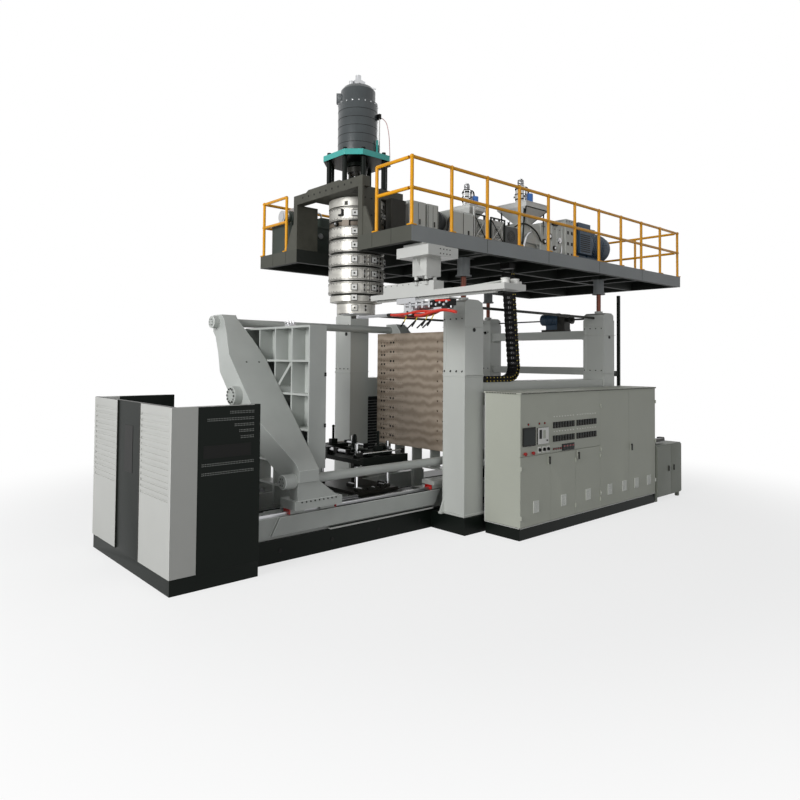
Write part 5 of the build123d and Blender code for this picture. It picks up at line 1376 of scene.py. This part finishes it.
class MACHINE_OT_spreader(bpy.types.Operator):
    """Spreader table with its arms"""
    bl_idname = "machine.spreader"
    bl_label = "Spreader"

    def execute(self, context):
        def is_post(centre, normal):
            return centre.z > 0.6 and math.hypot(abs(centre.x) - 0.3, abs(centre.y) - 0.43) < 0.0262

        dressed("spreader_base", "frame", dark_steel(), 0.003, ((is_post, chrome_steel()),))
        for node in ("spreader_table", "spreader_arm_near", "spreader_arm_far"):
            dressed(node, node, black_paint(), 0.003)
        top = SPREADER_TOP
        fittings = Shape()
        for x, y, length in ((-0.36, -0.3, 0.3), (-0.36, -0.05, 0.2), (0.3, 0.1, 0.26), (0.34, 0.45, 0.2)):
            fittings.bar((x, y, top + 0.04), (x, y + length, top + 0.04), 0.026, bare_steel(), 16)
            fittings.bar((x, y + length, top + 0.04), (x, y + length + 0.09, top + 0.04), 0.009,
                         chrome_steel(), 12)
            for end in (y, y + length):
                fittings.box((x - 0.034, end - 0.02, top), (x + 0.034, end + 0.02, top + 0.075),
                             black_plastic())
        for x, y in ((-0.38, -0.6), (0.28, -0.5), (-0.29, -0.42), (-0.3, 0.44), (-0.3, 0.6), (0.36, -0.1),
                     (0.05, 0.66)):
            fittings.box((x - 0.03, y - 0.03, top), (x + 0.03, y + 0.03, top + 0.055), dark_steel())
            fittings.bar((x, y, top + 0.05), (x, y, top + 0.085), 0.016, bare_steel(), 12)
        for y in (-0.66, 0.66):
            fittings.bar((-0.4, y, top + 0.05), (0.4, y, top + 0.05), 0.012, chrome_steel(), 12)
            for x in (-0.4, 0.4):
                fittings.box((x - 0.02, y - 0.02, top), (x + 0.02, y + 0.02, top + 0.07), black_plastic())
        fittings.object("spreader_table_fittings", "spreader_table", 0.0015)
        ground = Shape()
        for x, y, dx, dy, dz in ((-0.36, -0.55, 0.12, 0.08, 0.05), (-0.15, -0.55, 0.2, 0.06, 0.04),
                                 (0.1, -0.52, 0.1, 0.1, 0.06), (0.28, -0.34, 0.1, 0.12, 0.05),
                                 (-0.2, -0.2, 0.1, 0.14, 0.05)):
            level = SPREADER_BASE_TOP + dz
            ground.box((x, y, SPREADER_BASE_TOP), (x + dx, y + dy, level), dark_steel())
            ground.bar((x + dx / 2, y, level), (x + dx / 2, y + dy, level), 0.012, bare_steel(), 12)
        ground.object("spreader_base_fittings", "frame", 0.0015)
        return {"FINISHED"}


class MACHINE_OT_takeout(bpy.types.Operator):
    """Take-out beam, its carriage and the gripper"""
    bl_idname = "machine.takeout"
    bl_label = "Take-out unit"

    def execute(self, context):
        dressed("takeout_beam", "platform", light_paint(), 0.005)
        dressed("takeout_carriage", "takeout_carriage", bare_steel(), 0.003)
        for side in ("left", "right"):
            dressed(f"gripper_finger_{side}", f"gripper_{side}", dark_steel(), 0.002)
        self.carriage_fittings()
        self.beam_fittings()
        return {"FINISHED"}

    @staticmethod
    def carriage_fittings():
        """Cylinders, valves, air pipes and product hooks under the take-out carriage."""
        steel, dark, black = bare_steel(), dark_steel(), black_plastic()
        gear = Shape()
        gear.bar((-0.2, -1.86, 3.272), (-0.2, -1.4, 3.272), 0.04, steel, 24)
        gear.bar((-0.12, -1.95, 3.24), (-0.12, -1.52, 3.24), 0.034, chrome_steel(), 24)
        for y in (-1.87, -1.74, -1.62, -1.5):
            gear.box((-0.25, y - 0.016, 3.225), (-0.15, y + 0.016, 3.318), steel)
        gear.box((-0.25, -2.24, 3.325), (-0.07, -1.86, 3.342), light_paint())
        for y, z, tone in ((-1.93, 3.27, black), (-2.01, 3.255, dark), (-2.08, 3.28, black),
                           (-2.15, 3.25, dark), (-2.2, 3.285, black)):
            gear.box((-0.235, y - 0.028, z - 0.045), (-0.1, y + 0.028, z + 0.05), tone)
            gear.bar((-0.235, y, z), (-0.262, y, z), 0.017, steel, 12)
            gear.bar((-0.17, y, z - 0.045), (-0.17, y, z - 0.075), 0.012, steel, 12)
        gear.box((-0.25, -2.1, 3.19), (-0.09, -1.96, 3.22), steel)
        gear.bar((-0.235, -2.24, 3.3), (-0.235, -1.98, 3.31), 0.014, red_hose(), 12)
        gear.box((-0.245, -1.47, 3.12), (-0.075, -1.43, 3.2), dark)
        for index, y in enumerate((-1.4, -1.63, -1.82, -1.93)):
            top, middle, foot = (-0.2, y, 3.15), (-0.205, y + 0.06, 3.06), (-0.21, y + 0.125, 2.985)
            gear.bar(top, middle, 0.008, yellow_plastic(), 10)
            gear.bar(middle, foot, 0.011, black, 10)
            if index:
                gear.bar((-0.205, y + 0.05, 3.07), (-0.215, y + 0.21, 2.96), 0.01, black, 10)
        gear.bar((-0.2, -1.95, 3.15), (-0.2, -1.25, 3.15), 0.012, dark, 12)
        gear.object("takeout_carriage_fittings", "takeout_carriage", 0.0015)
        pipes = Shape()
        pipes.tube([(-0.2, -2.05, 3.19), (-0.22, -1.94, 3.165), (-0.23, -1.68, 3.19), (-0.235, -1.45, 3.16),
                    (-0.24, -1.22, 3.15), (-0.235, -1.1, 3.16)], 0.019, red_hose())
        pipes.tube([(-0.24, -2.36, 3.14), (-0.245, -2.22, 3.175), (-0.25, -2.08, 3.18), (-0.25, -1.86, 3.15),
                    (-0.245, -1.72, 3.12), (-0.24, -1.6, 3.135)], 0.021, red_hose())
        pipes.tube([(-0.1, -1.95, 3.19), (-0.08, -1.8, 3.14), (-0.08, -1.5, 3.12), (-0.09, -1.2, 3.14),
                    (-0.1, -0.8, 3.18)], 0.014, red_hose())
        pipes.bar((-0.235, -1.1, 3.16), (-0.235, -1.03, 3.16), 0.024, dark, 12)
        pipes.object("takeout_air_pipes", "takeout_carriage")

    @staticmethod
    def beam_fittings():
        """Pull rods along the beam, pulley hubs and the bolts of the hanger."""
        dark, pale = dark_steel(), white_plastic()
        trims = Shape()
        for x0, x1, z in ((-0.03, -0.075, 3.49), (0.0, 0.02, 3.47)):
            trims.bar((x0, -1.93, z - 0.03), (x1, -3.0, z + 0.012), 0.011, machine_paint(), 10)
        trims.bar((-0.035, -2.2, 3.468), (-0.043, -2.32, 3.476), 0.02, red_plastic(), 12)
        trims.box((-0.075, -2.2, 3.452), (-0.02, -2.12, 3.475), pale)
        for x in (-0.12, 0.06):
            trims.turned([(0.02, 3.45), (0.056, 3.45), (0.056, 3.462), (0.05, 3.47), (0.05, 3.505),
                          (0.056, 3.512), (0.056, 3.524), (0.02, 3.524)],
                         Matrix.Translation((x, PULLEY_Y, 0)), pale, 32)
            trims.bar((x, PULLEY_Y, 3.52), (x, PULLEY_Y, 3.54), 0.016, dark, 12)
        trims.bar((0.15, PULLEY_Y, 3.46), (0.15, PULLEY_Y, 3.5), 0.03, pale, 16)
        trims.box((-0.252, -2.95, 3.375), (-0.2485, -0.72, 3.381), dark)
        for x in (-0.265, -0.105):
            for y in (-1.835, -1.645):
                trims.turned([(0.02, 3.575), (0.036, 3.575), (0.036, 3.6), (0.02, 3.6)],
                             Matrix.Translation((x, y, 0)), dark, 20)
        trims.object("takeout_beam_trims", "platform", 0.001)
        rows("hanger_bolts", "platform", [at(-0.25, -2.0805, 3.92, FACING_NEAR)], 4, 0.06,
             (0.009, 0.009, 0.008), dark, count=2, rise=0.06)
        rows("hanger_plate_bolts", "platform", [at(-0.2505, -1.0, 3.56, FACING_LEFT)], 8, 0.12,
             (0.008, 0.008, 0.006), dark)


class MACHINE_OT_cable_chain(bpy.types.Operator):
    """Cable chain between the side beam and the platform"""
    bl_idname = "machine.cable_chain"
    bl_label = "Cable chain"

    def execute(self, context):
        chain = Shape()
        places = self.places()
        for place in places:
            self.link(chain, place)
        for lane in (-0.05, -0.02, 0.012, 0.045):
            chain.tube([place @ Vector((0, lane, 0)) for place in places], 0.012, rubber(), 8)
        chain.box((1.792, -1.588, 3.98), (1.928, -1.398, 4.068), black_plastic())
        chain.box((1.235, -1.588, 2.203), (1.29, -1.398, 2.212), dark_steel())
        mesh = bpy.data.meshes.new("drag_chain_links")
        bmesh.ops.recalc_face_normals(chain.bm, faces=chain.bm.faces)
        chain.bm.to_mesh(mesh)
        chain.bm.free()
        for paint in chain.paints:
            mesh.materials.append(paint)
        made = bpy.data.objects.new("drag_chain_links", mesh)
        bpy.context.collection.objects.link(made)
        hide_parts("drag_chain")
        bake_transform(made)
        return {"FINISHED"}

    @staticmethod
    def places():
        """One place for each link: along the side beam, round the corner and up to the platform."""
        turns = [(1.27 + CHAIN_PITCH * n, 2.2433, 0.0) for n in range(8)]
        for degrees in (11.25, 33.75, 56.25, 78.75):
            a = math.radians(degrees)
            turns.append((1.86 + CHAIN_BEND * math.sin(a), 2.2513 + CHAIN_BEND * (1 - math.cos(a)), degrees))
        lean, rise = CHAIN_BEND / 1.6567, 2.4533
        turns += [(2.03 - lean * (CHAIN_PITCH * n + 0.04), rise + CHAIN_PITCH * n, 95.86) for n in range(19)]
        return [Matrix.Translation((x, CHAIN_Y, z)) @ Matrix.Rotation(math.radians(-turn), 4, "Y")
                for x, z, turn in turns]

    @staticmethod
    def link(chain, place):
        """Two side plates with their pins, and a rib across each face."""
        turn = place.to_3x3().to_4x4()
        black, pin = black_plastic(), yellow_plastic()

        def block(low, high):
            middle, half = place @ ((Vector(low) + Vector(high)) / 2), (Vector(high) - Vector(low)) / 2
            chain.box(middle - half, middle + half, black, turn)

        def stud(x, start, end, z, radius, paint, sides):
            chain.bar(place @ Vector((x, start, z)), place @ Vector((x, end, z)), radius, paint, sides)

        for side in (-1, 1):
            inner, outer = side * 0.083, side * 0.096
            block((-0.034, min(inner, outer), -0.036), (0.036, max(inner, outer), 0.036))
            for x, radius, step in ((-0.036, 0.03, 0.0), (0.036, 0.026, -side * 0.004)):
                stud(x, inner + step, outer + step, 0, radius, black, 16)
            for z in (0.026, -0.026):
                stud(0, outer, outer + side * 0.003, z, 0.008, pin, 8)
        for z in (-0.0385, 0.0385):
            block((-0.02, -0.096, z - 0.0045), (0.022, 0.096, z + 0.0045))
            block((-0.01, -0.09, z - 0.0065), (0.0, 0.09, z + 0.0065))


class MACHINE_OT_stage(bpy.types.Operator):
    """Floor, backdrop, lamps and camera"""
    bl_idname = "machine.stage"
    bl_label = "Stage"

    def execute(self, context):
        self.floor()
        self.lamps()
        self.camera()
        return {"FINISHED"}

    def floor(self):
        mesh = bpy.data.meshes.new("floor")
        span = 60.0
        mesh.from_pydata([(-span, -span, -0.001), (span, -span, -0.001), (span, span, -0.001),
                          (-span, span, -0.001)], [], [(0, 1, 2, 3)])
        material = bpy.data.materials.new("pale floor")
        material.use_nodes = True
        tree = material.node_tree
        shader = tree.nodes["Principled BSDF"]
        shader.inputs["Roughness"].default_value = 0.9
        glow = add(tree, "ShaderNodeEmission", {"Color": (1, 1, 1, 1)})
        seen = self.seen(tree)
        tone = add(tree, "ShaderNodeMix", {0: seen, 6: (0.3, 0.3, 0.3, 1), 7: (0.86, 0.87, 0.87, 1)},
                   data_type="RGBA")
        feed(tree, shader.inputs["Base Color"], tone.outputs[2])
        place = add(tree, "ShaderNodeTexCoord").outputs["Object"]
        middle = add(tree, "ShaderNodeVectorMath", {0: place, 1: (1.5, 0, 0)}, operation="SUBTRACT")
        away = add(tree, "ShaderNodeVectorMath", {0: middle.outputs[0]}, operation="LENGTH")
        fade = add(tree, "ShaderNodeMapRange", {"Value": away.outputs["Value"], "From Min": 5.0,
                                                "From Max": 9.5, "To Min": 0.72, "To Max": 1.0},
                   interpolation_type="SMOOTHSTEP")
        share = reckon(tree, "MULTIPLY", seen, fade.outputs[0])
        mix = add(tree, "ShaderNodeMixShader", {0: share, 1: shader.outputs[0], 2: glow.outputs[0]})
        feed(tree, tree.nodes["Material Output"].inputs["Surface"], mix.outputs[0])
        mesh.materials.append(material)
        floor = bpy.data.objects.new("floor", mesh)
        bpy.context.collection.objects.link(floor)

    @staticmethod
    def seen(tree):
        """1 for rays from the camera, mirrors and glass, and 0 for the rays that light the object."""
        path = add(tree, "ShaderNodeLightPath").outputs
        some = reckon(tree, "MAXIMUM", path["Is Camera Ray"], path["Is Glossy Ray"])
        return reckon(tree, "MAXIMUM", some, path["Is Transmission Ray"])

    def lamps(self):
        level = sizes().light_level
        for name, spot, aim, size, power in (
            ("key", (-16, -3, 6.5), (0, 0, 2.5), 8, 1950),
            ("front", (-2, -13, 3.8), (0, 0, 2.5), 7, 160),
            ("overhead", (0, -2, 19), (1.5, 0, 2), 14, 180),
            ("rear", (14, 12, 9), (2, 0, 3), 10, 300),
        ):
            light = bpy.data.lights.new(name, "AREA")
            light.shape = "SQUARE"
            light.size = size
            light.energy = power * level
            lamp = bpy.data.objects.new(name, light)
            lamp.location = spot
            lamp.rotation_euler = (Vector(aim) - Vector(spot)).to_track_quat("-Z", "Y").to_euler()
            bpy.context.collection.objects.link(lamp)
        world = bpy.data.worlds.new("studio")
        bpy.context.scene.world = world
        world.use_nodes = True
        tree = world.node_tree
        backdrop = tree.nodes["Background"]
        backdrop.inputs["Color"].default_value = (0.93, 0.95, 0.97, 1)
        backdrop.inputs["Strength"].default_value = 0.18 * level
        white = add(tree, "ShaderNodeBackground", {"Color": (1, 1, 1, 1)})
        mix = add(tree, "ShaderNodeMixShader", {0: self.seen(tree), 1: backdrop.outputs[0],
                                                2: white.outputs[0]})
        feed(tree, tree.nodes["World Output"].inputs["Surface"], mix.outputs[0])
        bpy.context.scene.view_settings.view_transform = "Standard"

    def camera(self):
        data = bpy.data.cameras.new("camera")
        data.sensor_width = 36
        data.lens = 29.48
        data.shift_y = -0.075
        data.clip_end = 200
        camera = bpy.data.objects.new("camera", data)
        stand = (-6.319, -8.044, 2.529)
        yaw, pitch, roll = math.radians(47.98), 0.0301357, 0.0080325
        ahead = Vector((math.cos(pitch) * math.cos(yaw), math.cos(pitch) * math.sin(yaw), math.sin(pitch)))
        level_right = Vector((math.sin(yaw), -math.cos(yaw), 0))
        level_up = level_right.cross(ahead)
        right = math.cos(roll) * level_right + math.sin(roll) * level_up
        up = -math.sin(roll) * level_right + math.cos(roll) * level_up
        turn = Matrix((right, up, -ahead)).transposed()
        camera.matrix_world = Matrix.Translation(stand) @ turn.to_4x4()
        bpy.context.collection.objects.link(camera)
        bpy.context.scene.camera = camera


PIECES = (
    MACHINE_OT_bed, MACHINE_OT_clamp, MACHINE_OT_platens, MACHINE_OT_gantry,
    MACHINE_OT_fence, MACHINE_OT_cabinet, MACHINE_OT_instruments, MACHINE_OT_side_cabinet,
    MACHINE_OT_platform, MACHINE_OT_head, MACHINE_OT_extruders, MACHINE_OT_deck_units,
    MACHINE_OT_spreader, MACHINE_OT_takeout, MACHINE_OT_cable_chain, MACHINE_OT_stage,
)


class MACHINE_PT_sidebar(bpy.types.Panel):
    """Lists the pieces of the machine with their sizes and colours"""
    bl_idname = "MACHINE_PT_sidebar"
    bl_label = "Blow moulding machine"
    bl_space_type = "VIEW_3D"
    bl_region_type = "UI"
    bl_category = "Machine"

    def draw(self, context):
        for group in (context.scene.machine_sizes, context.scene.machine_colours):
            column = self.layout.column()
            for name in group.bl_rna.properties.keys():
                if name not in ("rna_type", "name"):
                    column.prop(group, name)
        for operator in PIECES:
            self.layout.operator(operator.bl_idname)


CLASSES = (MachineColours, MachineSizes, *PIECES, MACHINE_PT_sidebar)


def register():
    for cls in CLASSES:
        bpy.utils.register_class(cls)
    bpy.types.Scene.machine_colours = bpy.props.PointerProperty(type=MachineColours)
    bpy.types.Scene.machine_sizes = bpy.props.PointerProperty(type=MachineSizes)


def unregister():
    del bpy.types.Scene.machine_sizes
    del bpy.types.Scene.machine_colours
    for cls in reversed(CLASSES):
        bpy.utils.unregister_class(cls)


def main():
    register()
    for operator in PIECES:
        group, name = operator.bl_idname.split(".")
        getattr(getattr(bpy.ops, group), name)()


if __name__ == "__main__":
    main()
